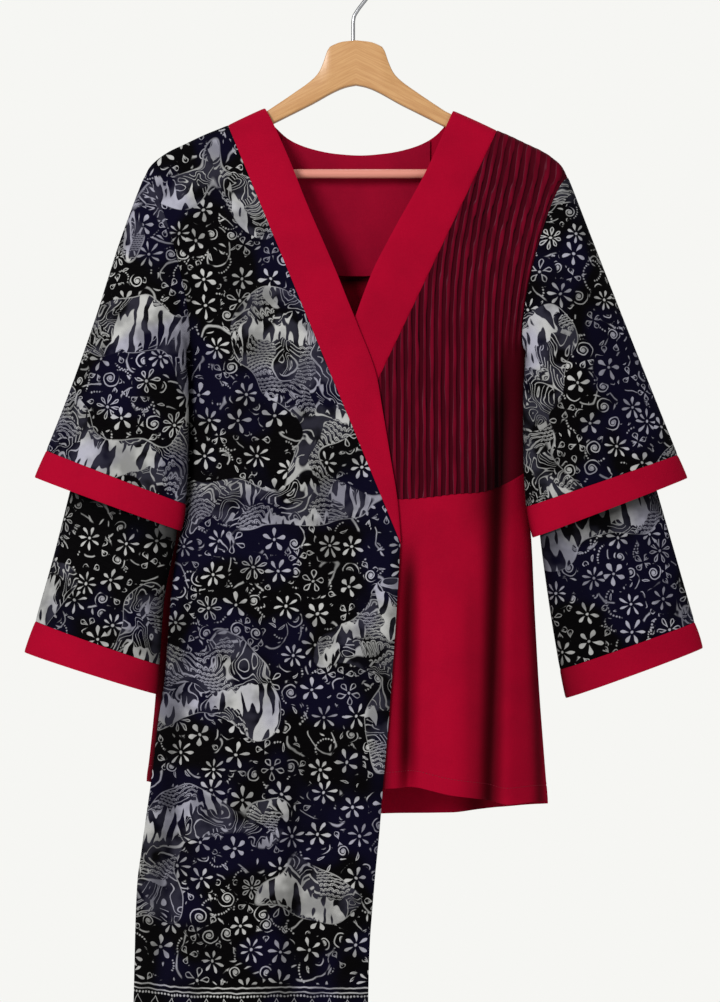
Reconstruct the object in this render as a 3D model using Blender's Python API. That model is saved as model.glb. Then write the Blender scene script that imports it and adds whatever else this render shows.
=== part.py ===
"""Batik wrap blouse hanging on a wooden hanger.

Lengths are in millimetres until a mesh is made. x runs from the hanger's centre towards the
wearer's left, down is measured from the inside of the hook, and forward is the distance in
front of the hanger's middle plane (negative behind it). Left and right are the wearer's own.
"""

import math
from collections import namedtuple

import bmesh
import bpy
import numpy as np

MM = 0.001
CLOTH = 1.5  # thickness of every cloth wall
SEAM = 0.3  # gap between two pieces that are sewn together
FRONT, BACK = 1, -1
LEFT, RIGHT = 1, -1

# Shoulders: half of the line that the hanger gives the cloth, from the neck out to the tip
Ridge = namedtuple("Ridge", "x down")
SHOULDER = (
    Ridge(0, 103), Ridge(60, 132.5), Ridge(100, 152.3), Ridge(134.4, 168.7), Ridge(160, 179.2),
    Ridge(178, 187.8), Ridge(196, 196.4), Ridge(208.5, 205), Ridge(216.5, 213), Ridge(222.6, 224),
)
TIP_X, TIP_DOWN = 222.6, 224.0
ARMPIT_X, ARMPIT_DOWN = 178.5, 404.0
ARMHOLE_BULGE = 15.5  # how far the armhole curves in towards the body
ARMHOLE_DEPTH = 22.0  # half of the armhole's opening, front to back
ARMHOLE_TURNS = (0, 0.05, 0.12, 0.2, 0.3, 0.4, 0.5, 0.6, 0.7, 0.8, 0.9, 1)

# How far the cloth stands from the middle plane at each drop below the shoulder line
Hang = namedtuple("Hang", "drop front back")
HANG = (
    Hang(9, 9.6, 9.6), Hang(40, 13.5, 12.5), Hang(120, 24, 19), Hang(220, 32, 26),
    Hang(400, 38, 31), Hang(700, 42, 34), Hang(980, 44, 35),
)
RIDGE_RADIUS = 9.6
UNDER_LAYER = 3.2  # the wrapped-under front lies this much behind the outer one
EDGE_ROUND = 60.0  # width over which a side edge curves round to the back

BACK_CORNER_DOWN = 857.0
LONG_HEM_DOWN = 1124.0

# Side edges below the armpit
Side = namedtuple("Side", "down x")
LEFT_SIDE = (
    Side(404, 178.5), Side(414, 176.6), Side(440, 176.2), Side(540, 178), Side(570, 180),
    Side(601, 183.8), Side(676, 187.4), Side(758, 192), Side(830, 197.4), Side(894, 202.5),
)
RIGHT_SIDE_BACK = (
    Side(404, 178.5), Side(414, 176.6), Side(440, 176.2), Side(540, 177.5), Side(572, 180.5),
    Side(600, 187), Side(612, 194), Side(625, 198), Side(666, 203.5), Side(719, 207), Side(767, 210),
    Side(819, 215), Side(857, 219.5), Side(900, 224),
)
RIGHT_SIDE_FRONT = (
    Side(404, 178.5), Side(414, 176.6), Side(440, 176.2), Side(540, 177.5), Side(572, 180),
    Side(605, 186), Side(647, 192.5), Side(701, 196.8), Side(744, 200), Side(797, 207.5),
    Side(851, 214), Side(898, 220.5), Side(929, 224.7), Side(961, 229), Side(1003, 231),
    Side(1045, 232), Side(1124, 234),
)
SIDE_ROWS = (428, 455, 485, 515, 542, 562, 583, 606, 630, 665, 705, 750, 800, BACK_CORNER_DOWN)
FRONT_ROWS = SIDE_ROWS + (905, 955, 1010, 1065, LONG_HEM_DOWN)
RIGHT_SEAM_FORWARD = 6.0  # the back wraps this far round to the front at the right side
RIGHT_SEAM_FROM, RIGHT_SEAM_FULL = 540.0, 620.0

# Wrap edges: straight outer edge of each neckband, and the curved inner one
BAND_TOP_X, BAND_TOP_DOWN = -134.4, 168.7
BAND_END_X, BAND_END_DOWN = 46.0, 606.0
BAND_INNER = (
    Side(150.5, -95.6), Side(167, -87), Side(210, -68), Side(246.8, -53.6), Side(325.5, -20),
    Side(351.8, -9.5), Side(378, 1), Side(433.7, 21.5), Side(465, 27), Side(518.7, 36),
    Side(561.8, 43), Side(603.5, 46.6),
)
UNDER_TOP_X, UNDER_TOP_DOWN = 148.0, 174.3
UNDER_END_X, UNDER_END_DOWN = -36.0, 560.0
UNDER_INNER = (
    Side(153.3, 102), Side(170, 94.5), Side(215, 74.6), Side(291, 33.6), Side(324.5, 16.8),
    Side(378, -3), Side(433.7, -20), Side(518.7, -35), Side(557, -38.5),
)
FREE_EDGE = (
    Side(606, 46), Side(637, 44.4), Side(710, 39.9), Side(782, 34.7), Side(854, 28.4),
    Side(902, 24.7), Side(957, 19.4), Side(1037, 13.7), Side(1088, 12.6), Side(1124, 11.6),
)

# Back neck: the neckband's two edges, from the right shoulder to the left one
Neck = namedtuple("Neck", "outer_x outer_down inner_x inner_down")
BACK_NECK = (
    Neck(-134.4, 168.7, -95.6, 150.5), Neck(-133.4, 170.6, -95.3, 151.3),
    Neck(-131.4, 174.5, -94.6, 153), Neck(-127.5, 182, -93, 156.8), Neck(-122, 192, -90.5, 163),
    Neck(-110, 210, -83, 171), Neck(-85, 227, -70, 182), Neck(-50, 237, -50, 190.5),
    Neck(-20, 241, -22, 196.3), Neck(10, 242, 5, 198), Neck(40, 240.5, 32, 196),
    Neck(70, 236, 60, 190), Neck(100, 226, 81, 180), Neck(126, 208, 94, 167),
    Neck(135, 194, 98.4, 159.5), Neck(140.5, 185, 100.4, 156.3), Neck(144.5, 179.2, 101.3, 154.6),
    Neck(146.6, 176.3, 101.7, 153.8), Neck(148, 174.3, 102, 153.3),
)
FACING_HALF_WIDTH, FACING_DOWN, FACING_RISE = 78.0, 325.5, 75.0
FACING_INSET = 2.6

# Pintucked panel: seam under it, and its tucks
Seam = namedtuple("Seam", "x down")
WAIST = (
    Seam(-36, 561), Seam(-8, 561.5), Seam(20, 561.5), Seam(46, 561), Seam(65, 560), Seam(84, 558),
    Seam(97, 556.2), Seam(110, 555), Seam(122, 554.6), Seam(132, 553.4), Seam(142, 550.8),
    Seam(152, 546.8), Seam(162, 541.8), Seam(170, 537.2), Seam(179, 531.8),
)
WAIST_GAP = 0.45
TUCKS = 20
TUCKS_FROM_X = 22.0
TUCK_PHASES = (0, 0.22, 0.62)
TUCK_HEIGHTS = (0, 2.2, 1.1)
TUCK_LEAN, TUCK_LEAN_FROM = 0.18, 330.0
HIDDEN_COLUMNS = 7
TUCK_FADE_X, TUCK_FADE_DOWN = 150.0, 360.0  # beside the deep fold the tucks run out below this

# Hems
LOWER_HEM = (
    Seam(-36, 862), Seam(30, 861), Seam(64, 860), Seam(77, 862.6), Seam(96, 867), Seam(129, 872),
    Seam(159, 878), Seam(183, 877), Seam(203, 878),
)
BACK_HEM = (
    Seam(-222, 857), Seam(-150, 876), Seam(-60, 890), Seam(30, 894), Seam(100, 894),
    Seam(130, 890), Seam(204, 880),
)

# Soft folds: a trough has a negative depth, a ridge a positive one
Fold = namedtuple("Fold", "x lean start rise width depth")
OUTER_FOLDS = (
    Fold(-172, -0.09, 600, 200, 26, -9), Fold(-110, -0.05, 640, 240, 20, 4),
    Fold(-60, -0.03, 700, 260, 16, -5), Fold(-10, 0, 760, 240, 14, 3),
)
UNDER_FOLDS = (
    Fold(158, -0.035, 380, 150, 12, -10), Fold(57, 0, 585, 110, 10, -9),
    Fold(98, 0, 590, 200, 20, 5), Fold(178, 0.03, 560, 160, 12, 2),
)
BACK_FOLDS = (
    Fold(-120, -0.04, 420, 260, 22, -7), Fold(-50, -0.02, 480, 260, 22, 4),
    Fold(20, 0, 440, 260, 20, -6), Fold(95, 0.02, 460, 260, 22, 4), Fold(150, 0.03, 420, 260, 16, -6),
)

# Sleeves: a row for each ring, from the armhole to the seam of the cuff band, then the band's edge
Ring = namedtuple("Ring", "along outer_x outer_down inner_x inner_down inner_forward half_depth")
LEFT_UPPER = (
    Ring(0, 222.6, 224, 178.5, 404, 0, 22), Ring(0.04, 226.5, 233.5, 181.8, 408, 4, 23.5),
    Ring(0.12, 234, 253, 180.3, 420, 9, 25), Ring(0.3, 249, 292, 175.4, 446, 12, 27),
    Ring(0.55, 281, 374, 175.2, 488, 12, 28), Ring(0.8, 314, 457, 175.8, 530, 12, 29),
    Ring(1, 337, 514.5, 177.2, 567, 12, 29),
)
LEFT_UPPER_BAND = (
    Ring(0, 337, 514.5, 177.2, 567, 12, 29), Ring(0.5, 342.3, 526.6, 179.4, 583.5, 12, 29.2),
    Ring(1, 347.6, 538.7, 182.2, 600, 12, 29.5),
)
LEFT_LOWER = (
    Ring(0, 227.1, 240, 184.4, 411, 5.5, 21), Ring(0.12, 238, 284, 185, 434, 10, 21.3),
    Ring(0.4, 270, 396, 186.5, 505, 13, 21.5), Ring(0.7, 306, 520, 192, 590, 14, 21.5),
    Ring(0.87, 334, 617, 203, 675, 14, 21.5), Ring(1, 354.9, 690, 213.5, 738.5, 14, 21),
)
LEFT_LOWER_BAND = (
    Ring(0, 354.9, 690, 213.5, 738.5, 14, 21), Ring(0.5, 359.6, 703, 216.5, 753.5, 14, 21),
    Ring(1, 363.8, 717, 219.5, 768.5, 14, 21),
)
RIGHT_UPPER = (
    Ring(0, 222.6, 224, 178.5, 404, 0, 22), Ring(0.04, 226.5, 233.5, 181.8, 408, 4, 23.5),
    Ring(0.12, 234, 253, 180.3, 420, 9, 25), Ring(0.3, 248, 292, 175.4, 446, 12, 27),
    Ring(0.55, 274, 374, 175.2, 488, 12, 28), Ring(0.8, 303.5, 457, 176, 530, 12, 29),
    Ring(1, 324.5, 510, 178.4, 566, 12, 29),
)
RIGHT_UPPER_BAND = (
    Ring(0, 324.5, 510, 178.4, 566, 12, 29), Ring(0.5, 330.8, 524, 180, 580, 12, 29.2),
    Ring(1, 337, 538, 182.8, 594, 12, 29.5),
)
RIGHT_LOWER = (
    Ring(0, 227.1, 240, 184.4, 411, 5.5, 21), Ring(0.12, 237, 284, 185, 434, 10, 21.3),
    Ring(0.4, 264, 396, 187.5, 505, 14, 21.5), Ring(0.7, 292, 520, 191, 590, 14, 21),
    Ring(0.87, 315, 614, 201, 668, 16, 21.5), Ring(1, 336, 689, 205.5, 733.5, 17, 21),
)
RIGHT_LOWER_BAND = (
    Ring(0, 336, 689, 205.5, 733.5, 17, 21), Ring(0.5, 342, 705, 206.3, 749, 17, 21),
    Ring(1, 347.8, 721.4, 207.3, 764.5, 17, 21),
)
LOWER_BULGE = 9.9
LOWER_PARTED, SEAM_SHARE = 0.4, 0.0007  # where a lower sleeve's two stretches meet, and their gap
BULGE_FADE = 0.3

# Hanger
ARM_THICKNESS, ARM_BEVEL = 12.0, 3.0
ARM_CLEARANCE = 4.8  # arm's top below the cloth's shoulder line
ARM_TIP_X = 205.0
ARM_SHARES = (0, 0.03, 0.065, 0.1, 0.135, 0.15, 0.165, 0.19, 0.215, 0.26, 0.32, 0.38, 0.44, 0.55)
ARM_STATIONS = ARM_SHARES + (0.66, 0.77, 0.87, 0.92, 0.96, 0.99, 1)
HEAD = (
    Ridge(0, 79.5), Ridge(14, 81), Ridge(28, 88), Ridge(31.5, 94), Ridge(34, 103), Ridge(39, 113),
    Ridge(45, 120), Ridge(66, 135.5), Ridge(92, 153),
)
UNDERSIDE = (
    Ridge(0, 126.5), Ridge(10, 128.5), Ridge(50, 148.5), Ridge(100, 173.5), Ridge(150, 198.5),
    Ridge(176, 212.5), Ridge(188, 224.5), Ridge(198, 228), Ridge(208, 226),
)
BAR_DOWN, BAR_DIAMETER, BAR_HALF_LENGTH = 219.2, 9.5, 174.0
TENON_DIAMETER, TENON_LENGTH = 8.0, 22.0
WIRE = 4.0
LOOP_RADIUS, LOOP_DOWN = 20.0, 18.0  # of the wire's middle line, and its centre
LOOP_FROM, LOOP_TO = -50.0, 200.0  # degrees, counted from the wearer's left upwards
STEM_X = -3.0
STEM = (Seam(-3, 92), Seam(-3, 76), Seam(-3, 62), Seam(-2.2, 55), Seam(1.5, 48), Seam(7, 40.5))
FIT = 0.3  # play around the hook and the bar's tenons

Finish = namedtuple("Finish", "colour roughness metallic")
BATIK = Finish((0.03, 0.03, 0.06), 0.75, 0.0)
CRIMSON = Finish((0.35, 0.004, 0.02), 0.7, 0.0)
TUCKED_RED = Finish((0.16, 0.004, 0.014), 0.7, 0.0)
WOOD = Finish((0.6, 0.36, 0.14), 0.45, 0.0)
ROSE_BAR = Finish((0.72, 0.35, 0.25), 0.5, 0.0)
STEEL = Finish((0.6, 0.6, 0.62), 0.25, 1.0)


def through(knots, values, at):
    """A smooth curve through a table's points that never overshoots them, read at one place or many."""
    knots, values = np.asarray(knots, float), np.asarray(values, float)
    rise = np.diff(values) / np.diff(knots)
    slopes = np.concatenate([rise[:1], np.zeros(len(knots) - 2), rise[-1:]])
    same_way = rise[:-1] * rise[1:] > 0
    both = np.where(same_way, rise[:-1] + rise[1:], 1)
    slopes[1:-1] = np.where(same_way, 2 * rise[:-1] * rise[1:] / both, 0)
    at = np.clip(np.asarray(at, float), knots[0], knots[-1])
    i = np.clip(np.searchsorted(knots, at, side="right") - 1, 0, len(knots) - 2)
    span = knots[i + 1] - knots[i]
    t = (at - knots[i]) / span
    start = (2 * t**3 - 3 * t**2 + 1) * values[i] + (t**3 - 2 * t**2 + t) * span * slopes[i]
    end = (3 * t**2 - 2 * t**3) * values[i + 1] + (t**3 - t**2) * span * slopes[i + 1]
    return start + end


def read(table, key, value, at):
    """One column of a table as a smooth function of another."""
    return through([getattr(row, key) for row in table], [getattr(row, value) for row in table], at)


def polyline(table, key, value, at):
    """The same, with straight runs between the rows, for a seam that two pieces share."""
    return np.interp(at, [getattr(row, key) for row in table], [getattr(row, value) for row in table])


def mix(a, b, share):
    return a + (b - a) * share


def ease(t):
    t = np.clip(t, 0, 1)
    return t * t * (3 - 2 * t)


def shoulder_down(x):
    return read(SHOULDER, "x", "down", np.abs(x))


def armhole_share(down):
    """How far down the armhole a point is, from 0 at the shoulder tip to 1 at the armpit."""
    return np.clip((down - TIP_DOWN) / (ARMPIT_DOWN - TIP_DOWN), 0, 1)


def side_edge(side, face, down):
    """Distance of the body's edge from the centre: the armhole, then the side seam."""
    share = armhole_share(down)
    bulge = ARMHOLE_BULGE * 2 * np.sqrt(share * (1 - share))
    armhole = mix(TIP_X, ARMPIT_X, share) - bulge
    if side == LEFT:
        table = LEFT_SIDE
    else:
        table = RIGHT_SIDE_FRONT if face == FRONT else RIGHT_SIDE_BACK
    return np.where(down < ARMPIT_DOWN, armhole, read(table, "down", "x", down))


def edge_depth(side, face, down):
    """How far the edge stands off the middle plane, towards its own face."""
    share = armhole_share(down)
    armhole = ARMHOLE_DEPTH * 2 * np.sqrt(share * (1 - share))
    seam = 0.0
    if side == RIGHT and face == FRONT:
        seam = RIGHT_SEAM_FORWARD * ease((down - RIGHT_SEAM_FROM) / (RIGHT_SEAM_FULL - RIGHT_SEAM_FROM))
    return np.where(down < ARMPIT_DOWN, armhole, seam)


def folds(table, x, down):
    total = np.zeros(np.broadcast(x, down).shape)
    for fold in table:
        middle = fold.x + fold.lean * (down - fold.start)
        strength = ease((down - fold.start) / fold.rise)
        total = total + fold.depth * strength * np.exp(-(((x - middle) / fold.width) ** 2))
    return total


def depth(face, x, down, under=False, fold_table=()):
    """Distance of the body's cloth from the middle plane."""
    drop = np.maximum(down - shoulder_down(x), 0)
    near = np.sqrt(np.maximum(RIDGE_RADIUS**2 - np.maximum(RIDGE_RADIUS - drop, 0) ** 2, 0))
    far = read(HANG, "drop", "front" if face == FRONT else "back", drop)
    full = np.where(drop < RIDGE_RADIUS, near, far)
    if under:
        full = full - UNDER_LAYER * ease(drop / 70)
    full = full + folds(fold_table, x, down)
    side = np.where(x > 0, LEFT, RIGHT)
    edge = np.where(side == LEFT, side_edge(LEFT, face, down), side_edge(RIGHT, face, down))
    at_edge = np.where(side == LEFT, edge_depth(LEFT, face, down), edge_depth(RIGHT, face, down))
    width = mix(12, EDGE_ROUND, ease((down - TIP_DOWN) / 100))
    turn = np.sin(math.pi / 2 * np.clip((edge - np.abs(x)) / width, 0, 1))
    return at_edge + (full - at_edge) * turn


def points(x, forward, down):
    return np.stack(np.broadcast_arrays(x, -forward, -down), axis=-1).astype(float)


def facing_out(face, surface, x, down):
    """The body's outward direction, from the slope of its depth."""
    step = 0.04
    across = (surface(x + step, down) - surface(x - step, down)) / (2 * step)
    along = (surface(x, down + step) - surface(x, down - step)) / (2 * step)
    out = np.stack(np.broadcast_arrays(-across, -float(face), along), axis=-1)
    return out / np.linalg.norm(out, axis=-1, keepdims=True)


def material(name, finish):
    made = bpy.data.materials.new(name)
    made.use_nodes = True
    shader = made.node_tree.nodes["Principled BSDF"]
    shader.inputs["Base Color"].default_value = (*finish.colour, 1)
    shader.inputs["Roughness"].default_value = finish.roughness
    shader.inputs["Metallic"].default_value = finish.metallic
    return made


def mesh_object(name, vertices, faces, finish, smooth=True):
    mesh = bpy.data.meshes.new(name)
    mesh.from_pydata([tuple(v) for v in np.asarray(vertices) * MM], [], faces)
    shape = bmesh.new()
    shape.from_mesh(mesh)
    bmesh.ops.recalc_face_normals(shape, faces=shape.faces)
    if shape.calc_volume(signed=True) < 0:
        bmesh.ops.reverse_faces(shape, faces=shape.faces)
    shape.to_mesh(mesh)
    shape.free()
    mesh.materials.append(material(name, finish))
    if smooth:
        mesh.shade_smooth()
        mesh.set_sharp_from_angle(angle=math.radians(50))
    made = bpy.data.objects.new(name, mesh)
    bpy.context.scene.collection.objects.link(made)
    return made


def wall(name, middle, out, finish, raised=0.0, ring=False):
    """A closed cloth wall around a grid of middle points. A ring's last column meets its first."""
    raised = np.broadcast_to(np.asarray(raised, float), middle.shape[:2])
    outer = middle + out * (CLOTH / 2 + raised)[..., None]
    inner = middle - out * CLOTH / 2
    rows, columns = middle.shape[:2]
    vertices = np.concatenate([outer.reshape(-1, 3), inner.reshape(-1, 3)])
    count = rows * columns

    def corner(row, column, layer):
        return layer * count + row * columns + column % columns

    faces = []
    for row in range(rows - 1):
        for column in range(columns if ring else columns - 1):
            for layer in (0, 1):
                quad = [
                    corner(row, column, layer), corner(row + 1, column, layer),
                    corner(row + 1, column + 1, layer), corner(row, column + 1, layer),
                ]
                faces.append(quad if layer == 0 else quad[::-1])
    for column in range(columns if ring else columns - 1):
        for row in (0, rows - 1):
            faces.append([
                corner(row, column, 0), corner(row, column + 1, 0),
                corner(row, column + 1, 1), corner(row, column, 1),
            ])
    if not ring:
        for row in range(rows - 1):
            for column in (0, columns - 1):
                faces.append([
                    corner(row, column, 0), corner(row + 1, column, 0),
                    corner(row + 1, column, 1), corner(row, column, 1),
                ])
    return mesh_object(name, vertices, faces, finish)


def unit(vectors):
    return vectors / np.linalg.norm(vectors, axis=-1, keepdims=True)


def turn_at(down):
    """Angle of a point on the armhole, from 0 at the shoulder tip to half a turn at the armpit."""
    return np.arccos(np.clip(1 - 2 * armhole_share(down), -1, 1))


def armhole_out(side, face, angle):
    """Outward direction that the body and the sleeve share along the armhole."""
    angle = np.asarray(angle)[..., None]
    at_tip = unit(np.array([side * 0.75, 0.0, 0.66]))
    at_armpit = unit(np.array([side * (TIP_X - ARMPIT_X), 0.0, ARMPIT_DOWN - TIP_DOWN]))
    long_way = np.where(np.cos(angle) > 0, at_tip, at_armpit)
    half_length = math.hypot(TIP_X - ARMPIT_X, ARMPIT_DOWN - TIP_DOWN) / 2
    forward = np.array([0.0, -face, 0.0])
    return unit(long_way * np.cos(angle) / half_length + forward * np.sin(angle) / ARMHOLE_DEPTH)


def wrap_share(down):
    return ease((down - RIGHT_SEAM_FROM) / (RIGHT_SEAM_FULL - RIGHT_SEAM_FROM))


def seam_edge(side, face, down):
    """A body panel's edge along the armhole and the side seam: middle points and outward ways."""
    above = down < ARMPIT_DOWN - 0.01
    at_armpit = np.abs(down - ARMPIT_DOWN) < 0.01
    around = wrap_share(down) if side == RIGHT else np.zeros(len(down))
    out = unit(np.stack([mix(side, side * 0.64, around), -0.77 * around, np.zeros(len(down))], axis=-1))
    x = side * side_edge(side, FRONT, down) + face * side * out[:, 1] * SEAM / 2
    forward = edge_depth(side, FRONT, down) + face * side * out[:, 0] * SEAM / 2
    x = np.where(above | at_armpit, side * (side_edge(side, FRONT, down) - SEAM / 2), x)
    hole = face * np.maximum(edge_depth(side, face, down), SEAM / 2)
    forward = np.where(above, hole, np.where(at_armpit, face * SEAM / 2, forward))
    out = np.where(above[:, None], armhole_out(side, face, turn_at(down)), out)
    out[at_armpit] = unit(np.array([side, 0.0, -1.0]))
    return points(x, forward, down), out


def body_grid(face, x, down, surface):
    """Middle points and outward ways of a body panel."""
    forward = np.maximum(surface(x, down), SEAM / 2)
    return points(x, face * forward, down), facing_out(face, surface, x, down)


def onto_ridge(middle, out, face, where):
    """Lays some points on the shoulder seam, where the walls stand square to it."""
    laid = middle[where]
    laid[..., 1] = -face * SEAM / 2
    middle[where] = laid
    x = laid[..., 0]
    slope = np.clip((shoulder_down(x + 0.5) - shoulder_down(x - 0.5)), -1.2, 1.2)
    out[where] = unit(np.stack([slope, np.zeros(x.shape), np.ones(x.shape)], axis=-1))


def armhole_rows():
    """Shares of the height from the shoulder to the armpit, where a row of each panel lies."""
    return (1 - np.cos(math.pi * np.array(ARMHOLE_TURNS))) / 2


def row_downs(top, bottom, side_rows):
    """Heights of a panel's rows in each column: the armhole's rows, then the side seam's."""
    upper = mix(top[None, :], ARMPIT_DOWN, armhole_rows()[:, None])
    shares = (np.array(side_rows)[:, None] - ARMPIT_DOWN) / (side_rows[-1] - ARMPIT_DOWN)
    return np.concatenate([upper, mix(ARMPIT_DOWN, bottom[None, :], shares)])


def start_from(x, exact):
    """Moves the columns of a grid so that its first row is exact, less and less further down."""
    fade = (1 - np.linspace(0, 1, len(x))[:, None]) ** 3
    return x + (exact - x[0])[None, :] * fade


def outer_band_x(down):
    share = (down - BAND_TOP_DOWN) / (BAND_END_DOWN - BAND_TOP_DOWN)
    return mix(BAND_TOP_X, BAND_END_X, share)


def under_band_x(down):
    share = (down - UNDER_TOP_DOWN) / (UNDER_END_DOWN - UNDER_TOP_DOWN)
    return mix(UNDER_TOP_X, UNDER_END_X, share)


def outer_surface(x, down):
    return depth(FRONT, x, down, fold_table=OUTER_FOLDS)


def under_surface(x, down):
    return depth(FRONT, x, down, under=True, fold_table=UNDER_FOLDS)


def back_surface(x, down):
    return depth(BACK, x, down, fold_table=BACK_FOLDS)


def facing_surface(x, down):
    return back_surface(x, down) - FACING_INSET


def right_front(finish):
    """The long batik front, from the shoulder to its hem, with the wrap's free edge."""
    across = np.linspace(0, 1, 13)
    top_x = mix(-TIP_X, BAND_TOP_X, across)
    down = row_downs(shoulder_down(top_x), np.full(len(top_x), LONG_HEM_DOWN), FRONT_ROWS)
    left = -side_edge(RIGHT, FRONT, down)
    free = read(FREE_EDGE, "down", "x", down)
    right = np.where(down < BAND_END_DOWN, outer_band_x(down), free) - SEAM / 2
    x = start_from(mix(left, right, across[None, :]), top_x - across * SEAM / 2)
    middle, out = body_grid(FRONT, x, down, outer_surface)
    onto_ridge(middle, out, FRONT, np.s_[0])
    middle[:, 0], out[:, 0] = seam_edge(RIGHT, FRONT, down[:, 0])
    return wall("front_right_batik", middle, out, finish)


def front_band(name, finish, surface, inner_table, outer_x, top, end, gap_side, end_margin):
    """A neckband along a wrap edge, from the shoulder seam to where it runs out."""
    columns, rows = 4, 14
    shares = np.concatenate([[0, 0.004, 0.018, 0.05], np.linspace(0.1, 1, rows)])
    outer_down = mix(top, end - end_margin, shares)
    inner_down = mix(inner_table[0].down, inner_table[-1].down, shares)
    inner_x = read(inner_table, "down", "x", inner_down)
    across = np.linspace(0, 1, columns)[None, :]
    x = mix(inner_x[:, None], outer_x(outer_down)[:, None] + gap_side * SEAM / 2, across)
    down = mix(inner_down[:, None], outer_down[:, None], across)
    middle, out = body_grid(FRONT, x, down, surface)
    onto_ridge(middle, out, FRONT, np.s_[0])
    return wall(name, middle, out, finish)


def tuck_columns():
    """Place of each column of the pintucked panel at its seam, and how far it is raised."""
    hidden = np.linspace(UNDER_END_X + 4, TUCKS_FROM_X, HIDDEN_COLUMNS, endpoint=False)
    places, heights = list(hidden), [0.0] * len(hidden)
    pitch = (ARMPIT_X - TUCKS_FROM_X) / TUCKS
    for tuck in range(TUCKS):
        for phase, height in zip(TUCK_PHASES, TUCK_HEIGHTS):
            places.append(TUCKS_FROM_X + (tuck + phase) * pitch)
            heights.append(height)
    return np.array(places + [ARMPIT_X]), np.array(heights + [0.0])


def tuck_x(place, down):
    """A tuck's line: straight up, leaning out above the chest, and along the armhole at its edge."""
    gentle = TUCK_LEAN * np.maximum(TUCK_LEAN_FROM - down, 0)
    with_edge = side_edge(LEFT, FRONT, down) - ARMPIT_X
    share = np.clip((place - 120) / (ARMPIT_X - 120), 0, 1) ** 2
    return place + mix(gentle, with_edge, share)


def tuck_tops(places):
    """Where each tuck's line meets the neckband or the shoulder seam."""
    low = np.full(len(places), UNDER_TOP_DOWN - 12)
    high = np.full(len(places), UNDER_END_DOWN)
    for _ in range(50):
        middle = (low + high) / 2
        x = tuck_x(places, middle)
        below = (x > under_band_x(middle)) & (middle > shoulder_down(x))
        low, high = np.where(below, low, middle), np.where(below, middle, high)
    return (low + high) / 2


def pintucked_front(finish):
    places, heights = tuck_columns()
    top = tuck_tops(places)
    top[-1] = TIP_DOWN
    waist_x = tuck_x(places, 550.0)
    waist_x = tuck_x(places, polyline(WAIST, "x", "down", waist_x))
    waist = polyline(WAIST, "x", "down", waist_x) - WAIST_GAP / 2
    shares = armhole_rows() * (ARMPIT_DOWN - TIP_DOWN) / (waist[-1] - TIP_DOWN)
    shares = np.concatenate([shares, np.linspace(shares[-1], 1, 4)[1:]])
    down = mix(top[None, :], waist[None, :], shares[:, None])
    x = tuck_x(places[None, :], down)
    on_band = x[0] < UNDER_TOP_X
    x[:, on_band] += SEAM * (1 - shares[:, None])
    covered = read(BAND_INNER, "down", "x", down)
    run_out = 1 - ease((x - TUCK_FADE_X) / 6) * ease((down - TUCK_FADE_DOWN) / 60)
    raised = heights[None, :] * np.clip((x - covered - 1) / 4, 0, 1) * run_out
    middle, out = body_grid(FRONT, x, down, under_surface)
    onto_ridge(middle, out, FRONT, np.s_[0, ~on_band])
    middle[:, -1], out[:, -1] = seam_edge(LEFT, FRONT, down[:, -1])
    return wall("front_left_pintucked", middle, out, finish, raised)


def lower_front(finish):
    """The plain red front below the pintucks."""
    rows = 11
    knots = [row.x for row in WAIST if row.x < 165]
    columns = np.sort(np.array(knots + [55.0, 74.5, 90.5, 103.5] + list(tuck_columns()[0][-4:])))
    spread = (columns - UNDER_END_X) / (ARMPIT_X - UNDER_END_X)

    def across(down):
        return columns + spread * (side_edge(LEFT, FRONT, down) - ARMPIT_X)

    top = polyline(WAIST, "x", "down", across(550.0))
    top = polyline(WAIST, "x", "down", across(top)) + WAIST_GAP / 2
    bottom = read(LOWER_HEM, "x", "down", across(878.0))
    down = mix(top[None, :], bottom[None, :], np.linspace(0, 1, rows)[:, None])
    middle, out = body_grid(FRONT, across(down), down, under_surface)
    middle[:, -1], out[:, -1] = seam_edge(LEFT, FRONT, down[:, -1])
    return wall("front_left_lower", middle, out, finish)


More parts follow.
